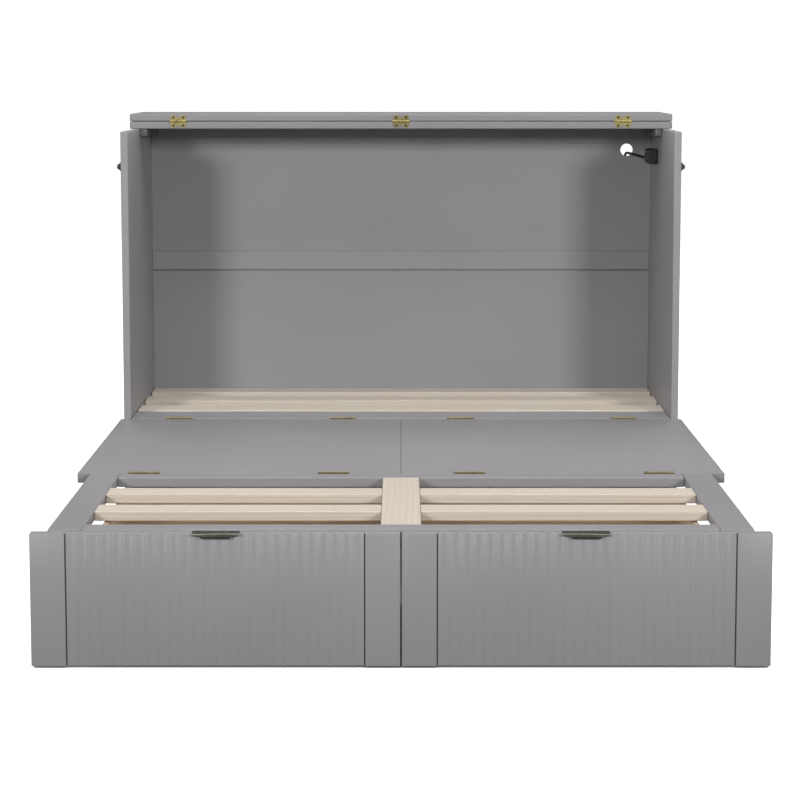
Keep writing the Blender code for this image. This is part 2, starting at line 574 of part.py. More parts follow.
# -------------------------------------------------------------------- drawers
BACK = FRONT_Y + FRONT_T
for side, label in ((-1, "left"), (1, "right")):
    par = DRAWER[side]
    n = f"drawer_{label}_"
    lo, hi = sorted((side * 0.0015, side * W_HALF))
    bm = bmesh.new()
    add_prism(bm, fluted_outline(lo, hi, FRONT_T), FRONT_Z0, BED_Z, lambda u, v, w: (u, Y(BACK - v), w))
    front = place(n + "front", bm, GREY, par)
    # the fluted field stops a little above the stiles' feet
    bm = bmesh.new()
    add_box(bm, lo + STILE_W, hi - STILE_W, FRONT_Y - 0.01, BACK + 0.01, FRONT_Z0 - 0.01, FRONT_Z0 + 0.0022)
    boolean(front, place(n + "foot_cutter", bm, GREY, par), "DIFFERENCE")

    # box: two side walls and the back glued into one U, drilled for the axles
    a, b = sorted((side * BOX_IN, side * BOX_OUT))
    r1, r2, f1 = BOX_REAR, BOX_REAR - BOX_T, BACK + GAP
    bm = bmesh.new()
    add_prism(bm, ((a, f1), (a + BOX_T, f1), (a + BOX_T, r2), (b - BOX_T, r2), (b - BOX_T, f1), (b, f1), (b, r1),
                   (a, r1)), BOX_FOOT, BOX_TOP, lambda u, v, w: (u, Y(v), w))
    box = place(n + "box", bm, PLY, par)
    bm = bmesh.new()
    for d, where in AXLES:
        add_turned(bm, ((a - 0.01, AXLE_R + 0.0005), (b + 0.01, AXLE_R + 0.0005)), (0.0, Y(d), WHEEL_R), "x", 12)
    boolean(box, place(n + "axle_cutter", bm, PLY, par), "DIFFERENCE")
    bm = bmesh.new()
    add_box(bm, a + BOX_T - 0.0043, b - BOX_T + 0.0043, f1 - 0.01, r2 + 0.0043, 0.0397, 0.0463)
    boolean(box, place(n + "groove_cutter", bm, PLY, par), "DIFFERENCE")
    board(n + "bottom", a + BOX_T - 0.004, b - BOX_T + 0.004, f1, r2 + 0.004, 0.0400, 0.0460, PLY, par, edge=0)

    # pull: a folded strip over the front's top edge with a finger lip
    px = side * 0.406
    top, under = BED_Z + 0.0016, BED_Z + GAP
    y_out, y_in = FRONT_Y - 0.0095, FRONT_Y + 0.021
    bm = bmesh.new()
    add_prism(bm, ((y_in, under), (y_in, top), (y_out + 0.002, top), (y_out, top - 0.0018), (y_out, BED_Z - 0.0040),
                   (y_out + 0.0014, BED_Z - 0.0040), (y_out + 0.0014, under)),
              px - 0.052, px + 0.052, lambda u, v, w: (w, Y(u), v))
    pull = place(n + "pull", bm, GUN, par)
    bm = bmesh.new()
    add_prism(bm, ((y_out, BED_Z - 0.002), (y_out, BED_Z - 0.0045), (y_out + 0.0012, BED_Z - 0.0105),
                   (y_out + 0.0026, BED_Z - 0.0105), (y_out + 0.0014, BED_Z - 0.0045), (y_out + 0.0014, BED_Z - 0.002)),
              px - 0.034, px + 0.034, lambda u, v, w: (w, Y(u), v))
    boolean(pull, place(n + "lip_tool", bm, GUN, par), "UNION")

    # two wheelsets, each a steel axle with a pair of wheels pressed onto it
    hw = WHEEL_W / 2
    for d, where in AXLES:
        hub = pivot(f"{n}axle_{where}_pivot", 0.0, 0.0)
        hub.location = (side * 0.343, Y(d), WHEEL_R)
        left, right = (side * 0.060, side * 0.625)
        left, right = sorted((left, right))
        e = 0.00001
        prof = [(a - 0.0012, AXLE_R - 0.001), (a - 0.0005, AXLE_R)]
        for wx in (left, right):
            prof += [(wx - hw - 0.003, AXLE_R), (wx - hw, 0.0065), (wx - hw + e, WHEEL_R), (wx + hw - e, WHEEL_R),
                     (wx + hw, 0.0065), (wx + hw + 0.003, AXLE_R)]
        prof += [(b + 0.0005, AXLE_R), (b + 0.0012, AXLE_R - 0.001)]
        bm = bmesh.new()
        add_turned(bm, prof, (0.0, Y(d), WHEEL_R), "x", 16, 0.0)
        place(f"{n}wheelset_{where}", bm, NYLON, hub, smooth=35)
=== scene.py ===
import math

import bmesh
import bpy
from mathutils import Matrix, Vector


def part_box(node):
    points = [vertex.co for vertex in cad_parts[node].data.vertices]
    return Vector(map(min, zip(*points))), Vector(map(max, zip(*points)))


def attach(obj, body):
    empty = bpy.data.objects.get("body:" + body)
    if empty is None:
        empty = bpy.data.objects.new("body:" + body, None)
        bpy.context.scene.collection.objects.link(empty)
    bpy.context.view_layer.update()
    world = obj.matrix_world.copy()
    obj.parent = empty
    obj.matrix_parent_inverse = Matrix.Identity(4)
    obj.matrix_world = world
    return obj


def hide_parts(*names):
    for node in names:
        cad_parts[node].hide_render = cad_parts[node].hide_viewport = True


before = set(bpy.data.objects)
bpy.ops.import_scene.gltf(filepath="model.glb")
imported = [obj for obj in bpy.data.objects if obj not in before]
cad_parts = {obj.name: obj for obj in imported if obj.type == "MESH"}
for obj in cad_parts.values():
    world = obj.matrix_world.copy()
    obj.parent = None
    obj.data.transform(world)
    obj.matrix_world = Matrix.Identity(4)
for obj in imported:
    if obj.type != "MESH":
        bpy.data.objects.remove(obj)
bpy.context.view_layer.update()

# Looks of the unfolded cabinet bed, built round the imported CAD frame.  Metres, +Z up.
scene = bpy.context.scene

# ------------------------------------------------------------------ camera
cam = bpy.data.objects.new("camera", bpy.data.cameras.new("camera"))
cam.data.lens = 93.6867
cam.data.sensor_width = 36.0
cam.data.shift_x = -0.00125
cam.data.shift_y = -0.14
cam.data.clip_end = 80.0
cam.location = (0.0, -5.52386, 1.30955)
cam.rotation_euler = (math.radians(90.0 - 5.9555), 0.0, 0.0)
scene.collection.objects.link(cam)
scene.camera = cam

# --------------------------------------------------------------- dimensions
FOLD_Y = 0.46625
W_HALF, CAB_HALF, SIDE_T, CAB_D = 0.815, 0.8065, 0.0205, 0.590
BACK_Y, SLAB_T, SLAB_Z, SEAM, SLAB_FRONT = 0.575, 0.022, 1.136, 0.001, 0.281
BED_Z, BOARD_T, LEAF_SEAM, PIN_UP, MID_LEN = 0.302, 0.025, 0.0036, 0.002, 0.8224
FOOT_FRONT, FOOT_HALF, FOOT_SIDE_IN, BEAM_HALF = -1.470, 0.782, 0.7065, 0.045
FRONT_Y, FRONT_T, FRONT_Z0, STILE_W, FLUTE_N = -1.513, 0.025, 0.004, 0.080, 26
BOX_OUT, BOX_IN, BOX_REAR, BOX_TOP, BOX_FOOT, BOX_T = 0.684, 0.018, -0.945, 0.2765, 0.0065, 0.012
WHEEL_R, WHEEL_W, AXLE_R = 0.018, 0.014, 0.003
AXLES = ((-1.435, "front"), (-1.005, "rear"))
HINGE_X = (-0.647, -0.170, 0.173, 0.649)
LID_HINGE_X = (-0.669, 0.0, 0.667)
LATCH_Y, LATCH_Z, STUD_ARM, STUD_D = 0.030, 1.034, 0.0463, -0.732
IN = CAB_HALF - SIDE_T - 0.0003
PIN1 = (-LEAF_SEAM / 2, BED_Z + PIN_UP)
MID_FRONT = -LEAF_SEAM - MID_LEN
PIN2 = (MID_FRONT - LEAF_SEAM / 2, BED_Z + PIN_UP)
LID_PIN = (SLAB_FRONT - 0.002, SLAB_Z + SLAB_T + SEAM / 2)


def Y(depth):
    return FOLD_Y + depth


# ---------------------------------------------------------------- materials
class Mat:
    """Small helper that builds a Principled material node by node."""

    def __init__(self, name, colour, rough, metal=0.0):
        self.m = bpy.data.materials.new(name)
        self.m.use_nodes = True
        self.t = self.m.node_tree
        self.b = self.t.nodes["Principled BSDF"]
        self.b.inputs["Base Color"].default_value = (*colour, 1)
        self.b.inputs["Roughness"].default_value = rough
        self.b.inputs["Metallic"].default_value = metal
        self.m.diffuse_color = (*colour, 1)
        self.coord = self.t.nodes.new("ShaderNodeTexCoord")
        self.height = None

    def new(self, kind, **inputs):
        n = self.t.nodes.new(kind)
        for k, v in inputs.items():
            n.inputs[k.replace("_", " ")].default_value = v
        return n

    def link(self, a, b):
        self.t.links.new(a, b)

    def space(self, scale=(1, 1, 1), offset=(0, 0, 0)):
        n = self.t.nodes.new("ShaderNodeMapping")
        n.inputs["Scale"].default_value = scale
        n.inputs["Location"].default_value = offset
        self.link(self.coord.outputs["Object"], n.inputs["Vector"])
        return n.outputs["Vector"]

    def noise(self, vector, scale, detail=3.0, rough=0.55, distortion=0.0):
        n = self.new("ShaderNodeTexNoise", Scale=scale, Detail=detail, Roughness=rough, Distortion=distortion)
        self.link(vector, n.inputs["Vector"])
        return n.outputs["Fac"]

    def ramp(self, fac, stops, interpolation="LINEAR"):
        n = self.t.nodes.new("ShaderNodeValToRGB")
        n.color_ramp.interpolation = interpolation
        e = n.color_ramp.elements
        while len(e) < len(stops):
            e.new(0.5)
        for i, (pos, c) in enumerate(stops):
            e[i].position = pos
            e[i].color = (*c, 1) if not isinstance(c, (int, float)) else (c, c, c, 1)
        self.link(fac, n.inputs["Fac"])
        return n.outputs["Color"]

    def mix(self, fac, a, b, mode="MIX"):
        n = self.t.nodes.new("ShaderNodeMix")
        n.data_type = "RGBA"
        n.blend_type = mode
        for sock, v in ((n.inputs[0], fac), (n.inputs[6], a), (n.inputs[7], b)):
            if hasattr(v, "links"):
                self.link(v, sock)
            else:
                sock.default_value = v if isinstance(v, (int, float)) else (*v, 1)
        return n.outputs[2]

    def math(self, op, a, b=0.0, c=0.0):
        n = self.t.nodes.new("ShaderNodeMath")
        n.operation = op
        for sock, v in zip(n.inputs, (a, b, c)):
            if hasattr(v, "links"):
                self.link(v, sock)
            else:
                sock.default_value = v
        return n.outputs[0]

    def remap(self, v, lo, hi, a=0.0, b=1.0):
        n = self.t.nodes.new("ShaderNodeMapRange")
        self.link(v, n.inputs["Value"])
        for k, x in (("From Min", a), ("From Max", b), ("To Min", lo), ("To Max", hi)):
            n.inputs[k].default_value = x
        return n.outputs["Result"]

    def colour(self, out):
        self.link(out, self.b.inputs["Base Color"])

    def rough(self, out):
        self.link(out, self.b.inputs["Roughness"])

    def bump(self, height, distance, strength=1.0):
        n = self.new("ShaderNodeBump", Strength=strength, Distance=distance)
        self.link(height, n.inputs["Height"])
        if self.height is not None:
            self.link(self.height, n.inputs["Normal"])
        self.height = n.outputs["Normal"]
        self.link(self.height, self.b.inputs["Normal"])


AXIS = {"x": 0, "y": 1, "z": 2}
PAINT = (0.285, 0.277, 0.289)


def along(axis, small, big=1.0):
    s = [big, big, big]
    s[AXIS[axis]] = small
    return tuple(s)


_made = {}


def paint(axis="x", tone=1.0, seed=0.0):
    """Satin grey paint sprayed over a board whose grain runs along axis."""
    key = ("paint", axis, tone, seed)
    if key in _made:
        return _made[key]
    base = tuple(c * tone for c in PAINT)
    k = Mat(f"paint_{axis}_{len(_made)}", base, 0.42)
    off = (seed * 1.7, seed * 2.3, seed * 3.1)
    flat = k.space((1, 1, 1), off)
    grain = k.space(along(axis, 0.06), off)
    cloud = k.noise(flat, 2.6, 2.0)
    streak = k.noise(grain, 95.0, 4.0, 0.6)
    film = k.noise(flat, 640.0, 2.0, 0.5)
    c = k.mix(k.remap(cloud, 0.0, 1.0, 0.3, 0.7), tuple(x * 0.972 for x in base), tuple(x * 1.028 for x in base))
    c = k.mix(k.remap(streak, 0.0, 0.55, 0.35, 0.75), c, tuple(x * 0.972 for x in base))
    # tiny specks where the film is thin
    speck = k.remap(k.noise(flat, 260.0, 1.0), 0.0, 0.5, 0.70, 0.80)
    c = k.mix(speck, c, tuple(min(1, x * 1.16) for x in base))
    k.colour(c)
    k.rough(k.math("ADD", k.remap(cloud, 0.36, 0.45, 0.3, 0.7), k.remap(film, -0.03, 0.03, 0.3, 0.7)))
    k.bump(film, 0.00016, 0.55)
    k.bump(streak, 0.00014, 0.5)
    k.b.inputs["Specular IOR Level"].default_value = 0.42
    _made[key] = k.m
    return k.m


def pine(axis="x", seed=0.0, tone=1.0, knots=True):
    """Planed bare pine: growth rings cut along the board, fine fibre and a few knots."""
    key = ("pine", axis, seed, tone)
    if key in _made:
        return _made[key]
    light = (0.618 * tone, 0.562 * tone, 0.490 * tone)
    k = Mat(f"pine_{axis}_{len(_made)}", light, 0.58)
    off = (seed * 3.7, seed * 1.9, seed * 5.3)
    warp = k.noise(k.space(along(axis, 0.16), off), 7.0, 2.0)
    n = k.t.nodes.new("ShaderNodeVectorMath")
    n.operation = "MULTIPLY_ADD"
    k.link(k.space(along(axis, 0.035), off), n.inputs[0])
    n.inputs[1].default_value = (1, 1, 1)
    comb = k.t.nodes.new("ShaderNodeCombineXYZ")
    for i in range(3):
        k.link(k.math("MULTIPLY", warp, 0.022), comb.inputs[i])
    k.link(comb.outputs[0], n.inputs[2])
    rings = k.new("ShaderNodeTexWave", Scale=34.0, Distortion=1.0, Detail=2.0, Detail_Scale=1.4)
    rings.wave_type = "RINGS"
    rings.rings_direction = axis.upper()
    k.link(n.outputs[0], rings.inputs["Vector"])
    fibre = k.noise(k.space(along(axis, 0.02), off), 520.0, 4.0, 0.62)
    cloud = k.noise(k.space(along(axis, 0.3), off), 9.0, 3.0)
    c = k.ramp(rings.outputs["Fac"], ((0.0, light), (0.62, tuple(x * 0.975 for x in light)),
                                      (0.86, (0.560 * tone, 0.480 * tone, 0.390 * tone)), (1.0, (0.600 * tone, 0.535 * tone, 0.455 * tone))))
    c = k.mix(k.remap(cloud, 0.0, 0.5, 0.35, 0.75), c, (0.60 * tone, 0.52 * tone, 0.425 * tone))
    c = k.mix(k.remap(fibre, 0.0, 0.30, 0.45, 0.75), c, (0.53 * tone, 0.445 * tone, 0.35 * tone))
    if knots:
        v = k.new("ShaderNodeTexVoronoi", Scale=2.7, Randomness=1.0)
        k.link(k.space(along(axis, 0.62), (off[0] + 0.4, off[1] + 0.2, off[2])), v.inputs["Vector"])
        core = k.remap(v.outputs["Distance"], 1.0, 0.0, 0.014, 0.034)
        halo = k.remap(v.outputs["Distance"], 0.65, 0.0, 0.02, 0.10)
        c = k.mix(halo, c, (0.50 * tone, 0.38 * tone, 0.26 * tone))
        c = k.mix(core, c, (0.24, 0.125, 0.06))
    k.colour(c)
    k.rough(k.remap(fibre, 0.50, 0.68, 0.3, 0.7))
    k.bump(fibre, 0.00022, 0.7)
    k.bump(rings.outputs["Fac"], 0.00018, 0.6)
    k.b.inputs["Specular IOR Level"].default_value = 0.35
    _made[key] = k.m
    return k.m


def ply(axis="x", seed=0.0, edge=None):
    """Birch-faced plywood; edge names the axis across which the plies stack."""
    key = ("ply", axis, seed, edge)
    if key in _made:
        return _made[key]
    base = (0.60, 0.47, 0.325)
    k = Mat(f"ply_{axis}_{len(_made)}", base, 0.6)
    off = (seed * 2.1, seed * 4.3, seed)
    grain = k.noise(k.space(along(axis, 0.05), off), 60.0, 4.0, 0.6, 0.6)
    fibre = k.noise(k.space(along(axis, 0.02), off), 480.0, 3.0)
    c = k.ramp(grain, ((0.30, (0.50, 0.375, 0.245)), (0.52, base), (0.75, (0.67, 0.54, 0.39))))
    c = k.mix(k.remap(fibre, 0.0, 0.3, 0.45, 0.75), c, (0.42, 0.30, 0.19))
    if edge:
        w = k.new("ShaderNodeTexWave", Scale=105.0, Distortion=0.15)
        w.wave_type = "BANDS"
        w.bands_direction = edge.upper()
        k.link(k.coord.outputs["Object"], w.inputs["Vector"])
        geo = k.t.nodes.new("ShaderNodeNewGeometry")
        sep = k.t.nodes.new("ShaderNodeSeparateXYZ")
        k.link(geo.outputs["True Normal"], sep.inputs[0])
        top = k.math("ABSOLUTE", sep.outputs["Z"])
        plies = k.mix(k.remap(w.outputs["Fac"], 0.0, 1.0, 0.35, 0.65), (0.40, 0.275, 0.165), (0.63, 0.50, 0.35))
        c = k.mix(k.remap(top, 0.0, 1.0, 0.6, 0.8), c, plies)
    k.colour(c)
    k.rough(k.remap(grain, 0.52, 0.68, 0.3, 0.7))
    k.bump(fibre, 0.00018, 0.6)
    _made[key] = k.m
    return k.m


def metal(name, base, dark, rough, grain_scale=900.0, axis="x", wear=0.5):
    """Plated or dark metal with fine drawing marks, tarnish and smudges."""
    if name in _made:
        return _made[name]
    k = Mat(name, base, rough, 1.0)
    lines = k.noise(k.space(along(axis, 0.05)), grain_scale, 3.0, 0.6)
    smudge = k.noise(k.space(), 85.0, 4.0, 0.65)
    c = k.mix(k.remap(smudge, 0.0, wear, 0.42, 0.72), base, dark)
    c = k.mix(k.remap(lines, 0.0, 0.25, 0.4, 0.7), c, tuple(x * 0.72 for x in base))
    k.colour(c)
    k.rough(k.math("ADD", k.remap(smudge, rough - 0.06, rough + 0.14, 0.3, 0.7), k.remap(lines, -0.04, 0.05, 0.3, 0.7)))
    k.bump(lines, 0.00006, 0.5)
    _made[name] = k.m
    return k.m


def plastic(name, base, rough, grain=700.0, depth=0.00012):
    """Moulded plastic or rubber with a fine spark-eroded texture and light scuffs."""
    if name in _made:
        return _made[name]
    k = Mat(name, base, rough)
    tex = k.noise(k.space(), grain, 2.0, 0.5)
    scuff = k.noise(k.space((1, 1, 4)), 40.0, 5.0, 0.7)
    k.colour(k.mix(k.remap(scuff, 0.0, 0.5, 0.52, 0.75), base, tuple(x * 1.9 + 0.012 for x in base)))
    k.rough(k.math("ADD", k.remap(scuff, rough - 0.05, rough + 0.12, 0.3, 0.7), k.remap(tex, -0.03, 0.03, 0.3, 0.7)))
    k.bump(tex, depth, 0.6)
    _made[name] = k.m
    return k.m


BRASS = lambda axis="x": metal("brass_" + axis, (0.43, 0.365, 0.155), (0.10, 0.082, 0.034), 0.30, axis=axis, wear=0.85)
BRONZE = lambda: metal("dark_screws", (0.105, 0.088, 0.055), (0.045, 0.038, 0.028), 0.38)
# a darker copy of the brass, used for the bed hinges
DARKER_BRASS = lambda: metal("darker_brass", (0.30, 0.250, 0.125), (0.085, 0.068, 0.038), 0.33, wear=0.9)
LATCH = lambda: metal("latch_iron", (0.30, 0.295, 0.28), (0.115, 0.112, 0.105), 0.36, wear=0.75)
STEEL = lambda: metal("zinc_steel", (0.58, 0.58, 0.60), (0.36, 0.36, 0.37), 0.33)
GUN = lambda: metal("gunmetal", (0.205, 0.200, 0.175), (0.090, 0.088, 0.076), 0.34, wear=0.7)
BLACK = lambda: plastic("black_plastic", (0.014, 0.014, 0.015), 0.40)
SHEATH = lambda: plastic("cable_sheath", (0.018, 0.018, 0.019), 0.48, 500.0, 0.0001)
NYLON = lambda: plastic("wheel_nylon", (0.045, 0.046, 0.05), 0.46, 420.0)
# near-black used only where there would be shade: painted shade for the screw cross recesses and the outlet slots
HOLE_SHADE = lambda: plastic("painted_hole_shade", (0.006, 0.006, 0.006), 0.6)


# -------------------------------------------------------------- mesh helpers
def piece(name, bm, mat, body, nodes=()):
    bmesh.ops.recalc_face_normals(bm, faces=bm.faces)
    me = bpy.data.meshes.new(name)
    bm.to_mesh(me)
    bm.free()
    ob = bpy.data.objects.new(name, me)
    scene.collection.objects.link(ob)
    me.materials.append(mat)
    return carry(ob, body, nodes)


def carry(ob, body, nodes=()):
    nodes = (nodes,) if isinstance(nodes, str) else nodes
    if nodes:
        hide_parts(*nodes)
    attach(ob, body)
    return ob


def cube(bm, lo, hi):
    v = [bm.verts.new((x, y, z)) for x in (lo[0], hi[0]) for y in (lo[1], hi[1]) for z in (lo[2], hi[2])]
    return [bm.faces.new([v[i] for i in f]) for f in
            ((0, 1, 3, 2), (4, 6, 7, 5), (0, 4, 5, 1), (2, 3, 7, 6), (0, 2, 6, 4), (1, 5, 7, 3))]


def soften(bm, radius, segments=3, angle=30.0, limit=None):
    """Rounds every edge sharper than angle; the rounding is shaded smooth, the flats stay flat."""
    bmesh.ops.recalc_face_normals(bm, faces=bm.faces)
    edges = [e for e in bm.edges if len(e.link_faces) == 2 and e.calc_face_angle(0.0) > math.radians(angle)
             and (limit is None or limit(e))]
    if edges and radius > 0:
        out = bmesh.ops.bevel(bm, geom=edges, offset=radius, segments=segments, profile=0.5, affect="EDGES",
                              clamp_overlap=True)
        for f in out["faces"]:
            f.smooth = True


def rounded(name, lo, hi, radius, mat, body, nodes=(), segments=3):
    bm = bmesh.new()
    cube(bm, lo, hi)
    soften(bm, radius, segments)
    return piece(name, bm, mat, body, nodes)


def prism(bm, outline, lo, hi, to_world):
    a = [bm.verts.new(to_world(u, v, lo)) for u, v in outline]
    b = [bm.verts.new(to_world(u, v, hi)) for u, v in outline]
    n = len(outline)
    faces = [bm.faces.new(a), bm.faces.new(list(reversed(b)))]
    for i in range(n):
        j = (i + 1) % n
        faces.append(bm.faces.new((a[i], b[i], b[j], a[j])))
    return faces


def turned(bm, profile, centre, axis, n=32, sign=1.0, sharp=35.0):
    """Turned solid; profile is (along, radius).  The ring faces are shaded smooth, the end caps flat."""
    ax = {"x": Vector((1, 0, 0)), "y": Vector((0, 1, 0)), "z": Vector((0, 0, 1))}[axis] * sign
    u = {"x": Vector((0, 1, 0)), "y": Vector((0, 0, 1)), "z": Vector((1, 0, 0))}[axis]
    w = ax.cross(u)
    c = Vector(centre)
    rings = []
    for al, r in profile:
        if r < 1e-6:
            rings.append([bm.verts.new(c + ax * al)])
        else:
            rings.append([bm.verts.new(c + ax * al + (u * math.cos(2 * math.pi * k / n)
                                                     + w * math.sin(2 * math.pi * k / n)) * r) for k in range(n)])
    faces = []
    for a, b in zip(rings, rings[1:]):
        for k in range(n):
            j = (k + 1) % n
            if len(a) == 1 and len(b) == 1:
                continue
            if len(a) == 1:
                faces.append(bm.faces.new((a[0], b[j], b[k])))
            elif len(b) == 1:
                faces.append(bm.faces.new((a[k], a[j], b[0])))
            else:
                faces.append(bm.faces.new((a[k], a[j], b[j], b[k])))
    if len(rings[0]) > 1:
        faces.append(bm.faces.new(list(reversed(rings[0]))))
    if len(rings[-1]) > 1:
        faces.append(bm.faces.new(rings[-1]))
    for f in faces:
        f.smooth = len(f.verts) <= 4
    return faces


def sharpen(ob, angle=32.0):
    ob.data.set_sharp_from_angle(angle=math.radians(angle))
    return ob


def ring(bm, lo, hi, ro, ri, centre, axis="x", n=28, lip=0.0003):
    """A bored barrel with eased ends."""
    ax = {"x": Vector((1, 0, 0)), "y": Vector((0, 1, 0)), "z": Vector((0, 0, 1))}[axis]
    u = {"x": Vector((0, 1, 0)), "y": Vector((0, 0, 1)), "z": Vector((1, 0, 0))}[axis]
    w = ax.cross(u)
    c = Vector(centre)

    def circle(al, r):
        return [bm.verts.new(c + ax * al + (u * math.cos(2 * math.pi * k / n) + w * math.sin(2 * math.pi * k / n)) * r)
                for k in range(n)]

    loops = [circle(lo + lip, ro), circle(hi - lip, ro), circle(hi, ro - lip), circle(hi, ri), circle(lo, ri),
             circle(lo, ro - lip)]
    for a, b in zip(loops, loops[1:] + loops[:1]):
        for k in range(n):
            j = (k + 1) % n
            bm.faces.new((a[k], a[j], b[j], b[k])).smooth = True


# --------------------------------------------------------------- power lead
CORD_R = 0.004
OUT_X0, OUT_D0, OUT_D1 = 0.7555, 0.383, 0.453
CORD_X0, CORD_Z0 = 0.768, 1.040
COIL_R = 0.045
COIL_X, HANG_D = 0.640, 0.620


def smooth_route(points, step):
    """Reads a Catmull-Rom curve through the points at an even spacing."""
    dense = []
    p = [points[0]] + points + [points[-1]]
    for i in range(1, len(p) - 2):
        p0, p1, p2, p3 = p[i - 1:i + 3]
        for k in range(24):
            t = k / 24
            dense.append(0.5 * ((2 * p1) + (p2 - p0) * t + (2 * p0 - 5 * p1 + 4 * p2 - p3) * t * t
                                + (3 * p1 - p0 - 3 * p2 + p3) * t ** 3))
    dense.append(points[-1])
    length = sum((b - a).length for a, b in zip(dense, dense[1:]))
    count = max(2, round(length / step))
    out, walked, target = [dense[0]], 0.0, length / count
    for a, b in zip(dense, dense[1:]):
        seg = (b - a).length
        while seg > 0 and walked + seg >= target - 1e-9 and len(out) < count:
            out.append(a.lerp(b, (target - walked) / seg))
            target += length / count
        walked += seg
    out.append(dense[-1])
    return out, length


def hanging():
    p = [(CORD_X0, OUT_D1 + 0.0262, CORD_Z0), (CORD_X0 - 0.0006, OUT_D1 + 0.040, CORD_Z0 + 0.0002),
         (0.7605, 0.512, 1.0418), (0.7465, 0.5345, 1.0450), (0.7305, 0.5535, 1.0490), (0.7175, 0.5700, 1.0520),
         (0.7105, 0.5850, 1.0518), (0.7085, 0.6000, 1.0445), (0.7082, 0.6115, 1.0300), (0.7085, 0.6180, 1.0080),
         (0.7090, HANG_D, 0.970), (0.7098, HANG_D + 0.0010, 0.80), (0.7104, HANG_D + 0.0015, 0.60),
         (0.7106, HANG_D + 0.0012, 0.40), (0.7104, HANG_D + 0.0006, 0.20), (0.7098, HANG_D, 0.090),
         (0.7078, HANG_D, 0.052), (0.7010, HANG_D, 0.0225), (0.6900, HANG_D, 0.0085), (0.6765, HANG_D, CORD_R + 0.0003),
         (COIL_X + 0.0295, HANG_D, CORD_R + 0.0002)]
    return [Vector((x, Y(d), z)) for x, d, z in p]


def smoothstep(t):
    t = min(1.0, max(0.0, t))
    return t * t * (3 - 2 * t)


def coil_points(r):
    """A turn and a half on the floor, the second lap lying on the first, then off to the plug."""
    cx, cy, z0, layer = COIL_X, Y(HANG_D + COIL_R), CORD_R + 0.0002, 0.0083
    out = [Vector((cx + 0.012, cy - r, z0)), Vector((cx + 0.004, cy - r, z0))]
    for k in range(0, 541, 6):
        z = z0 + layer * smoothstep((k - 246) / 70)
        a = math.radians(k)
        out.append(Vector((cx - r * math.sin(a), cy - r * math.cos(a), z)))
    last = out[-1]
    end = Vector((PLUG_X, PLUG_Y, 0.0125))
    return out + [last.lerp(end, t) for t in (0.2, 0.4, 0.6, 0.8, 1.0)]


PLUG_X, PLUG_Y = COIL_X + 0.0335, Y(HANG_D + 2 * COIL_R)
lead_points, lead_length = smooth_route(hanging() + coil_points(COIL_R), 0.004)
print("lead", round(lead_length, 4))
curve = bpy.data.curves.new("mains_lead", "CURVE")
curve.dimensions = "3D"
curve.bevel_depth = CORD_R
curve.bevel_resolution = 4
curve.use_fill_caps = True
line = curve.splines.new("POLY")
line.points.add(len(lead_points) - 1)
for q, co in zip(line.points, lead_points):
    q.co = (*co, 1.0)
line.use_smooth = True
lead = bpy.data.objects.new("mains_lead", curve)
scene.collection.objects.link(lead)
curve.materials.append(SHEATH())
carry(lead, "cabinet", ("power_cord", "cord_coil"))

# strain relief: ribbed taper
bm = bmesh.new()
prof = [(0.0003, 0.0075), (0.0030, 0.0075), (0.0036, 0.0070)]
for i in range(5):
    a = 0.0046 + i * 0.0038
    r = 0.0070 - i * 0.00042
    prof += [(a, r), (a + 0.0020, r - 0.0001), (a + 0.0024, r - 0.0009), (a + 0.0034, r - 0.0010)]
prof += [(0.0242, 0.0050), (0.0249, 0.0045)]
turned(bm, prof, (CORD_X0, Y(OUT_D1), CORD_Z0), "y", 28)
sharpen(piece("strain_relief", bm, BLACK(), "cabinet", "cord_strain_relief"), 30)

# plug: grip body, neck and two blades
px, cy, cz = PLUG_X, PLUG_Y, 0.0125
bm = bmesh.new()
section = [(-0.0125, -0.0080), (-0.0095, -0.0118), (0.0095, -0.0118), (0.0125, -0.0080), (0.0125, 0.0080),
           (0.0095, 0.0118), (-0.0095, 0.0118), (-0.0125, 0.0080)]
loops = []
for al, q in ((0.0460, 0.90), (0.0450, 1.0), (0.0335, 1.0), (0.0325, 0.94), (0.0305, 0.94), (0.0295, 0.99),
              (0.0285, 0.99), (0.0275, 0.93), (0.0255, 0.93), (0.0245, 0.96), (0.0175, 0.88), (0.0140, 0.66)):
    loops.append([bm.verts.new((px + al, cy + u * q, cz + v * q)) for u, v in section])
for a, b in zip(loops, loops[1:]):
    for i in range(8):
        j = (i + 1) % 8
        bm.faces.new((a[i], a[j], b[j], b[i]))
bm.faces.new(loops[0])
bm.faces.new(list(reversed(loops[-1])))
soften(bm, 0.0012, 2, 40)
turned(bm, ((0.0003, 0.0050), (0.0020, 0.0052), (0.0040, 0.0060), (0.0060, 0.0056), (0.0080, 0.0066),
            (0.0095, 0.0060), (0.0110, 0.0072), (0.0150, 0.0076)), (px, cy, cz), "x", 24)
plug_ob = piece("plug_body", bm, BLACK(), "cabinet", "cord_plug")
bm = bmesh.new()
for q in (-1, 1):
    cube(bm, (px + 0.0450, cy + q * 0.0064 - 0.0008, cz - 0.0032), (px + 0.0640, cy + q * 0.0064 + 0.0008, cz + 0.0032))
soften(bm, 0.0005, 2)
blades = piece("plug_blades", bm, STEEL(), "cabinet", "cord_plug")

# ------------------------------------------------------------ cabinet boards
def from_cad(node, radius, mat, body, segments=3, name=None):
    lo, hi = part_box(node)
    return rounded(name or node + "_skin", lo, hi, radius, mat, body, node, segments)


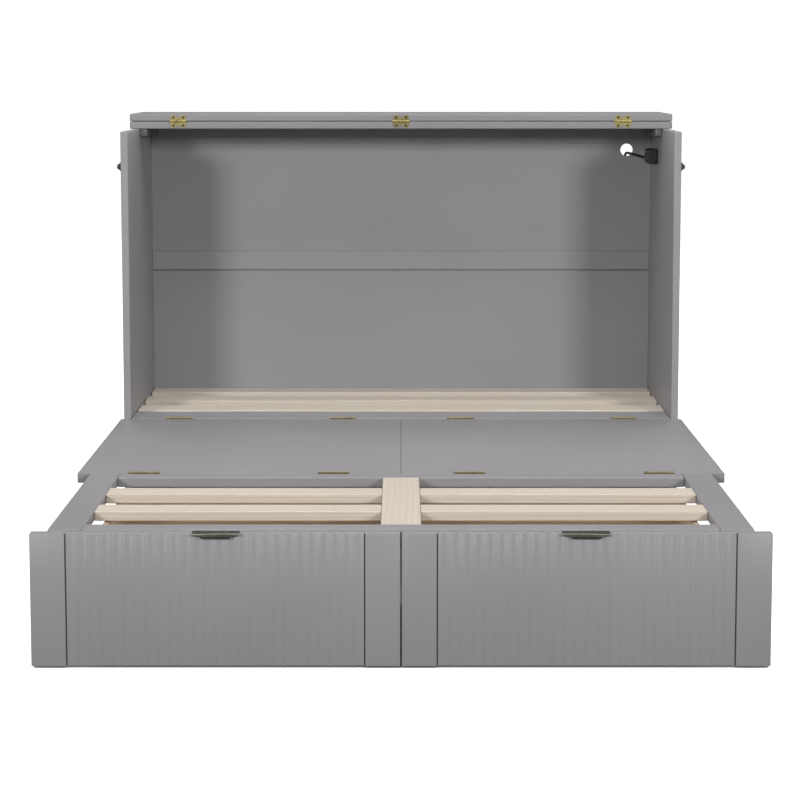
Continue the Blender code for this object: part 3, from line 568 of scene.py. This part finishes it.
for i, side in enumerate(("left", "right")):
    # the side panels take the grey 5% lighter: painted light standing in for the key light on their inner faces
    from_cad(f"side_panel_{side}", 0.0022, paint("z", 1.05, 1 + i), "cabinet", 4)
    # the slab cleats take the grey at about half tone: painted shade for the slab's shadow over their front ends
    from_cad(f"top_slab_cleat_{side}", 0.0030, paint("y", 0.52, 3 + i), "cabinet")
    from_cad(f"head_side_cleat_{side}", 0.0012, pine("y", 21 + i), "cabinet")
from_cad("back_top_rail", 0.0015, paint("x", 0.97, 5), "cabinet")
from_cad("back_panel_lower", 0.0008, paint("x", 0.95, 6), "cabinet")
from_cad("centre_divider", 0.0012, paint("y", 0.97, 7), "cabinet")
for i, n in enumerate(("front", "middle", "rear")):
    from_cad(f"head_slat_{n}", 0.0024, pine("x", 11 + i), "cabinet")

# upper back panel with its drilled cable hole
lo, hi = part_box("back_panel_upper")
hx, hz, hr, n = 0.7105, 1.062, 0.0195, 48
bm = bmesh.new()
half = 0.0235
sq = [(hx - half, hz - half + 0.002), (hx + half, hz - half + 0.002), (hx + half, hi[2] - 0.0002), (hx - half, hi[2] - 0.0002)]
x_cuts = (lo[0], sq[0][0], sq[1][0], hi[0])
z_cuts = (lo[2], sq[0][1], sq[2][1])


def hole_slab(bm, y, flip):
    """One face of the panel: strips round a small field that has the round hole."""
    def quad(x0, x1, z0, z1):
        bm.faces.new([bm.verts.new((x, y, z)) for x, z in ((x0, z0), (x1, z0), (x1, z1), (x0, z1))])
    quad(lo[0], x_cuts[1], lo[2], hi[2])
    quad(x_cuts[2], hi[0], lo[2], hi[2])
    quad(x_cuts[1], x_cuts[2], lo[2], z_cuts[1])
    quad(x_cuts[1], x_cuts[2], z_cuts[2], hi[2])
    outer, inner = [], []
    cx0, cz0 = (x_cuts[1] + x_cuts[2]) / 2, (z_cuts[1] + z_cuts[2]) / 2
    for k in range(n):
        a = 2 * math.pi * k / n
        c, s = math.cos(a), math.sin(a)
        tx = ((x_cuts[2] if c > 0 else x_cuts[1]) - hx) / c if abs(c) > 1e-9 else 1e9
        tz = ((z_cuts[2] if s > 0 else z_cuts[1]) - hz) / s if abs(s) > 1e-9 else 1e9
        t = min(tx, tz)
        outer.append(bm.verts.new((hx + c * t, y, hz + s * t)))
        inner.append(bm.verts.new((hx + c * hr, y, hz + s * hr)))
    for cx1 in x_cuts[1:3]:                      # the field's corners take the nearest rim points
        for cz1 in z_cuts[1:3]:
            corner = Vector((cx1, y, cz1))
            min(outer, key=lambda v: (v.co - corner).length).co = corner
    for k in range(n):
        j = (k + 1) % n
        bm.faces.new((outer[k], outer[j], inner[j], inner[k]))
    return inner


a = hole_slab(bm, lo[1], False)
b = hole_slab(bm, hi[1], True)
for k in range(n):
    j = (k + 1) % n
    bm.faces.new((a[k], a[j], b[j], b[k])).smooth = True
for (x0, z0), (x1, z1) in (((lo[0], lo[2]), (hi[0], lo[2])), ((hi[0], lo[2]), (hi[0], hi[2])),
                           ((hi[0], hi[2]), (lo[0], hi[2])), ((lo[0], hi[2]), (lo[0], lo[2]))):
    bm.faces.new([bm.verts.new(c) for c in ((x0, lo[1], z0), (x1, lo[1], z1), (x1, hi[1], z1), (x0, hi[1], z0))])
bmesh.ops.remove_doubles(bm, verts=bm.verts, dist=0.00002)
piece("back_panel_upper_skin", bm, paint("x", 1.0, 8), "cabinet", "back_panel_upper")

# middle rail of the back, with the shadow groove under it
bm = bmesh.new()
prism(bm, ((BACK_Y, 0.684), (BACK_Y + 0.009, 0.684), (BACK_Y + 0.009, 0.668), (CAB_D, 0.668), (CAB_D, 0.743),
           (BACK_Y, 0.743)), -IN, IN, lambda u, v, w: (w, Y(u), v))
soften(bm, 0.0014, 3)
piece("back_mid_rail_skin", bm, paint("x", 1.0, 9), "cabinet", "back_mid_rail")

# top: fixed rear slab and flap, front edges well rounded
rounded("top_slab_rear_skin", (-W_HALF, Y(SLAB_FRONT), SLAB_Z), (W_HALF, Y(CAB_D), SLAB_Z + SLAB_T), 0.0030,
        paint("x", 0.86, 14), "cabinet", "top_slab_rear", 4)
from_cad("top_slab_flap", 0.0030, paint("x", 0.89, 15), "top_flap", 4)

# platform boards
rounded("head_front_rail_skin", (-IN, Y(0.0), 0.280), (IN, Y(0.128), BED_Z), 0.0028, paint("x", 1.05, 16), "cabinet",
        "head_front_rail", 4)


def board_profile(lo, hi, thick, back=0.0022, deep=0.0021, per=8):
    """Face outline across a fluted board: stile, V groove, scalloped flutes, V groove, stile."""
    a, b = lo + STILE_W, hi - STILE_W
    g = 0.0035
    pts = [(b + g, thick), (b + g * 0.88, thick - 0.0006), (b + g * 0.80, thick - 0.0075), (b + 0.0002, thick - 0.0075),
           (b, thick - back - 0.0004)]
    pitch = (b - a) / FLUTE_N
    for i in range(FLUTE_N):
        right = b - i * pitch
        for j in range(1, per + 1):
            t = j / per
            pts.append((right - pitch * t, thick - back - deep * math.sin(math.pi * t) ** 0.7))
    pts[-1] = (a, thick - back - 0.0004)
    pts += [(a - 0.0002, thick - 0.0075), (a - g * 0.80, thick - 0.0075), (a - g * 0.88, thick - 0.0006), (a - g, thick)]
    return pts


def fluted(name, lo, hi, thick, w0, w1, to_world, mat, body, node, sides=0.0022, ease_ends=0.0018):
    """Fluted board as one closed skin; its two ends across the flutes are eased."""
    face = board_profile(lo, hi, thick)
    corner = [(hi - sides * (1 - math.sin(math.radians(t))), thick - sides * (1 - math.cos(math.radians(t))))
              for t in (90, 60, 30, 0)]
    corner2 = [(lo + sides * (1 - math.sin(math.radians(t))), thick - sides * (1 - math.cos(math.radians(t))))
               for t in (0, 30, 60, 90)]
    lowc = 0.0007
    outline = [(lo + lowc, 0.0), (hi - lowc, 0.0), (hi, lowc)] + corner + face + corner2 + [(lo, lowc)]
    bm = bmesh.new()
    loops = []
    e = ease_ends
    for w, s in ((w0, 1.0), (w0 + e * 0.29, 0.29), (w0 + e, 0.0), (w1 - e, 0.0), (w1 - e * 0.29, 0.29), (w1, 1.0)):
        loop = []
        for u, v in outline:
            vv = v - e * s if v > thick / 2 else v + e * s * 0.6
            uu = min(max(u, lo + e * s), hi - e * s)
            loop.append(bm.verts.new(to_world(uu, vv, w)))
        loops.append(loop)
    n = len(outline)
    for a, b in zip(loops, loops[1:]):
        for i in range(n):
            j = (i + 1) % n
            f = bm.faces.new((a[i], a[j], b[j], b[i]))
            f.smooth = True
    bm.faces.new(loops[0])
    bm.faces.new(list(reversed(loops[-1])))
    ob = piece(name, bm, mat, body, node)
    return sharpen(ob, 24)


SEAM_X = 0.0005
for side, label in ((-1, "left"), (1, "right")):
    lo, hi = sorted((side * SEAM_X, side * W_HALF))
    # fluted underside, plain top; the top edges at the hinge lines are eased round the barrels
    ob = fluted(f"middle_panel_{label}_skin", lo, hi, BOARD_T, MID_FRONT, -LEAF_SEAM,
                lambda u, v, w: (u, Y(w), BED_Z - v), paint("y", 1.0, 17 + side), "middle", f"middle_panel_{label}")
# -------------------------------------------------------------- foot section
Z0 = BED_Z - BOARD_T
FX = FOOT_SIDE_IN - 0.0003
for i, side in enumerate(("left", "right")):
    from_cad(f"foot_rail_{side}", 0.0028, paint("y", 1.0, 22 + i), "foot", 4)
REAR_W = 0.0515
FOOT_REAR = MID_FRONT - LEAF_SEAM
rounded("foot_rail_rear_skin", (-FX, Y(FOOT_REAR - REAR_W), Z0), (FX, Y(FOOT_REAR), BED_Z), 0.0028, paint("x", 1.0, 24),
        "foot", "foot_rail_rear", 4)
from_cad("foot_rail_front", 0.0028, paint("x", 1.04, 31), "foot", 4)
from_cad("foot_centre_beam", 0.0020, pine("y", 32), "foot", 4)
for a, label, seed in ((-1.088, "rear", 41), (-1.282, "front", 47)):
    for s, tag in ((-1, "l"), (1, "r")):
        x0, x1 = sorted((s * (BEAM_HALF + 0.0003), s * FX))
        rounded(f"foot_slat_{label}_{tag}", (x0, Y(a), BED_Z - 0.023), (x1, Y(a + 0.078), BED_Z), 0.0030,
                pine("x", seed + s), "foot", f"foot_slat_{label}", 4)

# ------------------------------------------------------------------- hinges
def leaf_plate(bm, hx, width, pin, n_dir, a_dir, near, far, length, barrel, middle, notch=0.0, screws=()):
    """One hinge leaf with rounded corners and knuckle cut-outs, drawn in the plane beside the pin."""
    k1, k2, c = width / 3, 2 * width / 3, 0.0003
    high, low = barrel[0] * 0.55, barrel[0] + 0.0005
    r = 0.0035
    x0 = hx - width / 2

    def arc(cx, cy, a0, a1, rad=r, steps=5):
        return [(cx + rad * math.cos(math.radians(a0 + (a1 - a0) * i / steps)),
                 cy + rad * math.sin(math.radians(a0 + (a1 - a0) * i / steps))) for i in range(steps + 1)]

    if notch:
        # full width beside the barrel, drawn in to two round lobes about the screws, a V between them
        m, lobe = width / 2, 0.0078
        cxl, cyl = m - 0.0148, length - lobe
        left = [(0.0, low + 0.0022), (0.0012, low + 0.0042)] + arc(cxl, cyl, 192, 28, lobe, 10)
        right = [(width - x, y) for x, y in reversed(left)]
        far_edge = left + [(m - 0.0022, length - notch), (m, length - notch - 0.0022), (m + 0.0022, length - notch)] + right
    else:
        far_edge = arc(r, length - r, 180, 90) + arc(width - r, length - r, 90, 0)
    if middle:
        near_edge = [(width, low), (k2 - c, low), (k2 - c, high), (k1 + c, high), (k1 + c, low), (0, low)]
    else:
        near_edge = [(width, high), (k2 + c, high), (k2 + c, low), (k1 - c, low), (k1 - c, high), (0, high)]
    prism(bm, far_edge + near_edge, near, far, lambda u, v, w: (
        x0 + u, Y(pin[0] + a_dir[0] * v + n_dir[0] * w), pin[1] + a_dir[1] * v + n_dir[1] * w))


def knuckles(bm, hx, width, pin, barrel, middle):
    k1, k2, c = width / 3, 2 * width / 3, 0.0005
    x0 = hx - width / 2
    spans = ((k1 + c, k2 - c),) if middle else ((0, k1 - c), (k2 + c, width))
    for a, b in spans:
        ring(bm, a, b, barrel[0], barrel[1], (x0, Y(pin[0]), pin[1]), "x", 28)


def pin_rod(bm, hx, width, pin, r):
    x0 = hx - width / 2
    turned(bm, ((-0.0010, 0.0), (-0.0010, r * 0.6), (-0.0006, r * 0.95), (0.0, r), (width, r), (width + 0.0006, r * 0.95),
                (width + 0.0010, r * 0.6), (width + 0.0010, 0.0)), (x0, Y(pin[0]), pin[1]), "x", 20)


def screw(bm, x, depth, z, dir_y, head=0.0041, proud=0.0002):
    """Countersunk head facing the front (dir_y -1) from a plate at depth; its cross recess is not cut here but painted
    on by cross().
    """
    prof = ((0.0010, 0.0018), (0.0, head * 0.96), (-proud * 0.6, head * 0.9), (-proud, head * 0.55))
    turned(bm, prof + ((-proud, 0.0),), (x, Y(depth), z), "y", 20, 1.0 if dir_y < 0 else -1.0)


# a flat near-black cross laid on a screw head: painted shade standing in for the cross recess
def cross(bm, x, depth, z, angle, arm=0.0024, w=0.00050):
    ca, sa = math.cos(angle), math.sin(angle)
    for k in (0, 1):
        c, s = (ca, sa) if k == 0 else (-sa, ca)
        pts = [(c * arm - s * w, s * arm + c * w), (-c * arm - s * w, -s * arm + c * w),
               (-c * arm + s * w, -s * arm - c * w), (c * arm + s * w, s * arm - c * w)]
        a = [bm.verts.new((x + u, Y(depth), z + v)) for u, v in pts]
        b = [bm.verts.new((x + u, Y(depth) + 0.0003, z + v)) for u, v in pts]
        bm.faces.new(a)
        bm.faces.new(list(reversed(b)))
        for i in range(4):
            j = (i + 1) % 4
            bm.faces.new((a[i], b[i], b[j], a[j]))


PLATE, BARREL, LEAF_W, LEAF_L = (0.00025, 0.0015), (0.0032, 0.0016), 0.076, 0.021
DOWN, UP = (0, -1), (0, 1)
for row, pin, fixed_n, fixed_body, fixed_node, mine in (
        ("head", PIN1, (1, 0), "cabinet", "head_front_rail", (-1, 0)),
        ("foot", PIN2, (-1, 0), "foot", "foot_rail_rear", (1, 0))):
    bm = bmesh.new()
    for hx in HINGE_X:
        leaf_plate(bm, hx, LEAF_W, pin, fixed_n, DOWN, *PLATE, LEAF_L, BARREL, False)
        knuckles(bm, hx, LEAF_W, pin, BARREL, False)
    sharpen(piece(f"{row}_hinge_fixed_leaves", bm, DARKER_BRASS(), fixed_body, fixed_node))
    for k, hx in enumerate(HINGE_X):
        bm = bmesh.new()
        leaf_plate(bm, hx, LEAF_W, pin, mine, DOWN, *PLATE, LEAF_L, BARREL, True)
        knuckles(bm, hx, LEAF_W, pin, (BARREL[0], 0.00130), True)
        pin_rod(bm, hx, LEAF_W, pin, 0.00135)
        sharpen(piece(f"{row}_hinge_{k + 1}_leaf", bm, DARKER_BRASS(), "middle", f"{row}_hinge_{k + 1}"))

LID_PLATE, LID_BARREL, LID_W, LID_L = (0.0004, 0.0017), (0.0027, 0.0014), 0.051, 0.0195
bm = bmesh.new()
heads, marks = bmesh.new(), bmesh.new()
for hx in LID_HINGE_X:
    leaf_plate(bm, hx, LID_W, LID_PIN, (1, 0), DOWN, *LID_PLATE, LID_L, LID_BARREL, False, notch=0.0072)
    knuckles(bm, hx, LID_W, LID_PIN, LID_BARREL, False)
    for s in (-1, 1):
        screw(heads, hx + s * 0.0148, LID_PIN[0] + 0.0004, LID_PIN[1] - 0.0120, -1)
        cross(marks, hx + s * 0.0148, LID_PIN[0] + 0.00012, LID_PIN[1] - 0.0120, 0.4 + hx * 3 + s)
sharpen(piece("lid_hinge_fixed_leaves", bm, BRASS(), "cabinet", "top_slab_rear"))
sharpen(piece("lid_screws_fixed", heads, BRONZE(), "cabinet", "top_slab_rear"))
piece("lid_screw_recess_shade_fixed", marks, HOLE_SHADE(), "cabinet", "top_slab_rear")
for hx, label in zip(LID_HINGE_X, ("left", "centre", "right")):
    bm, heads, marks = bmesh.new(), bmesh.new(), bmesh.new()
    leaf_plate(bm, hx, LID_W, LID_PIN, (1, 0), UP, *LID_PLATE, LID_L, LID_BARREL, True, notch=0.0072)
    knuckles(bm, hx, LID_W, LID_PIN, (LID_BARREL[0], 0.00110), True)
    pin_rod(bm, hx, LID_W, LID_PIN, 0.00115)
    for s in (-1, 1):
        screw(heads, hx + s * 0.0148, LID_PIN[0] + 0.0004, LID_PIN[1] + 0.0120, -1)
        cross(marks, hx + s * 0.0148, LID_PIN[0] + 0.00012, LID_PIN[1] + 0.0120, 1.1 + hx * 2 + s)
    sharpen(piece(f"lid_hinge_{label}_leaf", bm, BRASS(), "top_flap", f"lid_hinge_{label}"))
    sharpen(piece(f"lid_screws_{label}", heads, BRONZE(), "top_flap", f"lid_hinge_{label}"))
    piece(f"lid_screw_recess_shade_{label}", marks, HOLE_SHADE(), "top_flap", f"lid_hinge_{label}")

# ------------------------------------------------------------------- outlet
bm = bmesh.new()
cube(bm, (OUT_X0, Y(OUT_D0), 1.026), (IN, Y(OUT_D1), 1.072))
soften(bm, 0.0045, 4)
piece("outlet_case", bm, BLACK(), "cabinet", "power_outlet")
bm = bmesh.new()
cube(bm, (OUT_X0 - 0.0032, Y(OUT_D0 + 0.004), 1.0295), (OUT_X0 + 0.002, Y(OUT_D1 - 0.004), 1.0685))
soften(bm, 0.0018, 3)
piece("outlet_plate", bm, plastic("outlet_plate", (0.022, 0.022, 0.023), 0.30, 900.0, 0.00005), "cabinet", "power_outlet")
bm = bmesh.new()
for od in (0.405, 0.431):
    turned(bm, ((0.0, 0.0098), (0.0003, 0.0102), (0.0006, 0.0102), (0.0006, 0.0)), (OUT_X0 - 0.0031, Y(od), 1.049), "x", 28, -1.0)
sharpen(piece("outlet_rings", bm, plastic("outlet_ring", (0.030, 0.030, 0.031), 0.36), "cabinet", "power_outlet"))
# the slots are thin near-black plates on the socket face: painted shade for the socket holes
bm = bmesh.new()
for od in (0.405, 0.431):
    for dz in (-0.0058, 0.0058):
        cube(bm, (OUT_X0 - 0.00385, Y(od - 0.0035), 1.049 + dz - 0.0008), (OUT_X0 - 0.0030, Y(od + 0.0035), 1.049 + dz + 0.0008))
piece("outlet_slots", bm, HOLE_SHADE(), "cabinet", "power_outlet")

# ------------------------------------------------------------------ latches
for side, label in ((-1, "left"), (1, "right")):
    bm = bmesh.new()
    prof = ((0.0003, 0.0), (0.0003, 0.0148), (0.0008, 0.0150), (0.0018, 0.0149), (0.0024, 0.0145), (0.0034, 0.0138),
            (0.0050, 0.0122), (0.0070, 0.0100), (0.0086, 0.0080), (0.0091, 0.0070), (0.0091, 0.0024), (0.0124, 0.0024),
            (0.0124, 0.0058), (0.0127, 0.0061), (0.0133, 0.0059), (0.0139, 0.0046), (0.0143, 0.0024), (0.0144, 0.0))
    turned(bm, prof, (side * CAB_HALF, Y(LATCH_Y), LATCH_Z), "x", 40, side)
    sharpen(piece(f"latch_{label}_boss", bm, LATCH(), "cabinet", f"latch_base_{label}"), 40)
    bm = bmesh.new()
    turned(bm, ((0.0015, 0.0015), (0.0112, 0.0015), (0.0118, 0.0010), (0.0118, 0.0)),
           (side * CAB_HALF, Y(LATCH_Y + 0.0100), LATCH_Z - 0.0068), "x", 16, side)
    sharpen(piece(f"latch_{label}_peg", bm, LATCH(), "cabinet", f"latch_base_{label}"), 40)
    L, r, h = STUD_ARM, 0.0068, 0.0031
    arc = [(r * math.cos(a), r * math.sin(a)) for a in (math.pi * (0.5 + k / 16) for k in range(0, 17))]
    slot_arc = [(L - h * math.cos(t) * 1.0, 0.0005 - 0.0031 * math.sin(t)) for t in (math.pi * k / 10 for k in range(11))][::-1]
    tip = [(L + 0.0025, -0.0072), (L + 0.0048, -0.0062), (L + 0.0066, -0.0044), (L + 0.0078, -0.0012), (L + 0.0078, 0.0050),
           (L + 0.0070, 0.0064), (L + 0.0056, 0.0068), (L + h + 0.0006, 0.0064), (L + h, 0.0056)]
    outline = arc + [(0.0058, -0.0052), (0.010, -0.0050), (L - 0.010, -0.0055), (L - 0.004, -0.0066)] + tip + slot_arc + \
        [(L - h, 0.0044), (L - h - 0.0008, 0.0050), (0.010, 0.0050), (0.0058, 0.0054)]
    bm = bmesh.new()
    prism(bm, outline, CAB_HALF + 0.0096, CAB_HALF + 0.0119, lambda u, v, w: (side * w, Y(LATCH_Y + u), LATCH_Z + v))
    soften(bm, 0.0004, 2, 60)
    sharpen(piece(f"latch_{label}_arm", bm, LATCH(), f"latch_{label}", f"latch_hook_{label}"), 30)
    bm = bmesh.new()
    prof = ((0.0003, 0.0), (0.0003, 0.0048), (0.0006, 0.0050), (0.0009, 0.0049), (0.0010, 0.0022), (0.0040, 0.0022),
            (0.0041, 0.0034), (0.0044, 0.0036), (0.0050, 0.0035), (0.0055, 0.0028), (0.0055, 0.0))
    turned(bm, prof, (side * W_HALF, Y(STUD_D), BED_Z - 0.0125), "x", 28, side)
    sharpen(piece(f"latch_{label}_stud", bm, LATCH(), "middle", f"latch_stud_{label}"), 40)

# ------------------------------------------------------------------ drawers
BACK = FRONT_Y + FRONT_T
for side, label in ((-1, "left"), (1, "right")):
    body = f"drawer_{label}"
    n = f"drawer_{label}_"
    lo, hi = sorted((side * 0.0015, side * W_HALF))
    fluted(n + "front_skin", lo, hi, FRONT_T, FRONT_Z0, BED_Z, lambda u, v, w: (u, Y(BACK - v), w),
           paint("z", 1.0, 51 + side), body, n + "front", sides=0.0026, ease_ends=0.0022)
    a, b = sorted((side * BOX_IN, side * BOX_OUT))
    f1, r2 = BACK + 0.0003, BOX_REAR - BOX_T
    for x, tag, seed in ((a, "wall_a", 61), (b - BOX_T, "wall_b", 62)):
        rounded(n + tag, (x, Y(f1), BOX_FOOT), (x + BOX_T, Y(BOX_REAR), BOX_TOP), 0.0012, ply("y", seed + side, "x"), body,
                n + "box")
    rounded(n + "back_wall", (a + BOX_T + 0.0001, Y(r2), BOX_FOOT), (b - BOX_T - 0.0001, Y(BOX_REAR), BOX_TOP), 0.0012,
            ply("x", 64 + side, "y"), body, n + "box")
    rounded(n + "base", (a + BOX_T + 0.0002, Y(f1), 0.0400), (b - BOX_T - 0.0002, Y(r2) - 0.0002, 0.0460), 0.0005,
            ply("x", 67 + side), body, n + "bottom", 1)
    # folded edge pull
    px = side * 0.406
    top, under = BED_Z + 0.0016, BED_Z + 0.0003
    y_out, y_in = FRONT_Y - 0.0095, FRONT_Y + 0.021
    bend = [(y_out + 0.0026 - 0.0026 * math.sin(t), top - 0.0026 + 0.0026 * math.cos(t)) for t in
            (math.pi / 2 * k / 6 for k in range(7))]
    inner = [(y_out + 0.0027 - 0.0013 * math.sin(t), under - 0.0013 + 0.0013 * math.cos(t)) for t in
             (math.pi / 2 * k / 6 for k in range(7))]
    bm = bmesh.new()
    prism(bm, [(y_in, under), (y_in, top)] + bend + [(y_out, BED_Z - 0.0040), (y_out + 0.0014, BED_Z - 0.0040)] + inner[::-1],
          px - 0.052, px + 0.052, lambda u, v, w: (w, Y(u), v))
    soften(bm, 0.00035, 2, 50)
    sharpen(piece(n + "pull_strip", bm, GUN(), body, n + "pull"), 25)
    bm = bmesh.new()
    prism(bm, ((y_out, BED_Z - 0.0035), (y_out, BED_Z - 0.0050), (y_out + 0.0005, BED_Z - 0.0085), (y_out + 0.0012, BED_Z - 0.0105),
               (y_out + 0.0026, BED_Z - 0.0105), (y_out + 0.0019, BED_Z - 0.0085), (y_out + 0.0014, BED_Z - 0.0050),
               (y_out + 0.0014, BED_Z - 0.0035)),
          -0.034, 0.034, lambda u, v, w: (px + w * (1 - 0.06 * (BED_Z - 0.0035 - v) / 0.007), Y(u), v))
    soften(bm, 0.0003, 2, 50)
    sharpen(piece(n + "pull_lip", bm, GUN(), body, n + "pull"), 25)
    hw = WHEEL_W / 2
    for d, where in AXLES:
        wb = f"wheelset_{label}_{where}"
        node = f"{n}wheelset_{where}"
        bm = bmesh.new()
        turned(bm, ((a - 0.0012, 0.0), (a - 0.0012, AXLE_R - 0.0010), (a - 0.0005, AXLE_R), (b + 0.0005, AXLE_R),
                    (b + 0.0012, AXLE_R - 0.0010), (b + 0.0012, 0.0)), (0.0, Y(d), WHEEL_R), "x", 24)
        sharpen(piece(f"{wb}_axle", bm, STEEL(), wb, node))
        bm = bmesh.new()
        for wx in (side * 0.060, side * 0.625):
            turned(bm, ((-hw - 0.003, AXLE_R + 0.0002), (-hw - 0.003, 0.0056), (-hw - 0.0002, 0.0062), (-hw + 0.0018, 0.0072),
                        (-hw + 0.0018, 0.0132), (-hw, 0.0142), (-hw, 0.0166), (-hw + 0.0014, WHEEL_R), (-0.0006, WHEEL_R),
                        (0.0, WHEEL_R - 0.0004), (0.0006, WHEEL_R), (hw - 0.0014, WHEEL_R), (hw, 0.0166), (hw, 0.0142),
                        (hw - 0.0018, 0.0132), (hw - 0.0018, 0.0072), (hw + 0.0002, 0.0062), (hw + 0.003, 0.0056),
                        (hw + 0.003, AXLE_R + 0.0002)), (wx, Y(d), WHEEL_R), "x", 40)
        sharpen(piece(f"{wb}_wheels", bm, NYLON(), wb, node))

# -------------------------------------------------------------------- stage
def stage_material(name, value, glow):
    """White sweep that glows where open; ambient occlusion takes the glow away under and beside the bed, a painted
    shade, so there it shows only the lamp light that gets there.
    """
    k = Mat(name, (value, value, value), 0.9)
    grain = k.noise(k.space(), 220.0, 3.0)
    k.colour(k.mix(grain, (value * 0.985,) * 3, (min(1.0, value * 1.015),) * 3))
    occlusion_shade = k.t.nodes.new("ShaderNodeAmbientOcclusion")
    occlusion_shade.samples = 24
    occlusion_shade.inputs["Distance"].default_value = 1.3
    k.b.inputs["Emission Color"].default_value = (1, 1, 1, 1)
    # painted shade: the floor's glow is scaled down by ambient occlusion, so it darkens under and beside the bed
    k.link(k.remap(occlusion_shade.outputs["AO"], 0.0, glow, 0.20, 0.45), k.b.inputs["Emission Strength"])
    return k.m


bm = bmesh.new()
bmesh.ops.create_grid(bm, x_segments=1, y_segments=1, size=300.0)
me = bpy.data.meshes.new("floor")
bm.to_mesh(me)
bm.free()
floor = bpy.data.objects.new("floor", me)
floor.location = (0, 0, -0.0004)
scene.collection.objects.link(floor)
me.materials.append(stage_material("floor_white", 0.45, 0.98))
floor.visible_diffuse = False
floor.visible_glossy = False

world = bpy.data.worlds.new("studio")
scene.world = world
world.use_nodes = True
wt = world.node_tree
dim = wt.nodes["Background"]
dim.inputs["Color"].default_value = (1, 1, 1, 1)
dim.inputs["Strength"].default_value = 0.17
white = wt.nodes.new("ShaderNodeBackground")
white.inputs["Color"].default_value = (1, 1, 1, 1)
white.inputs["Strength"].default_value = 1.0
seen, blend = wt.nodes.new("ShaderNodeLightPath"), wt.nodes.new("ShaderNodeMixShader")
wt.links.new(seen.outputs["Is Camera Ray"], blend.inputs[0])
wt.links.new(dim.outputs[0], blend.inputs[1])
wt.links.new(white.outputs[0], blend.inputs[2])
wt.links.new(blend.outputs[0], wt.nodes["World Output"].inputs["Surface"])


def area(name, loc, target, size, power):
    d = bpy.data.lights.new(name, "AREA")
    d.energy = power
    d.size = size
    o = bpy.data.objects.new(name, d)
    o.location = loc
    o.rotation_euler = (Vector(target) - Vector(loc)).to_track_quat("-Z", "Y").to_euler()
    o.visible_camera = False
    scene.collection.objects.link(o)
    return o


area("key_left", (-4.81, -9.5, 3.15), (0.0, 0.6, 0.75), 1.7, 470)
area("key_right", (4.81, -9.5, 3.15), (0.0, 0.6, 0.75), 1.7, 470)
area("overhead", (0.0, -0.25, 4.0), (0.0, -0.25, 0.2), 2.6, 104)

for i, sx in enumerate((-1, 1)):
    for fill in (area(f"rear_fill_{i}", (sx * 5.0, 8.0, 3.2), (0.0, 1.0, 0.6), 2.5, 270),
                 area(f"side_fill_{i}", (sx * 8.0, 2.8, 2.4), (0.0, 0.4, 0.5), 2.5, 250)):
        fill.visible_glossy = False

scene.view_settings.view_transform = "Standard"
scene.view_settings.look = "None"
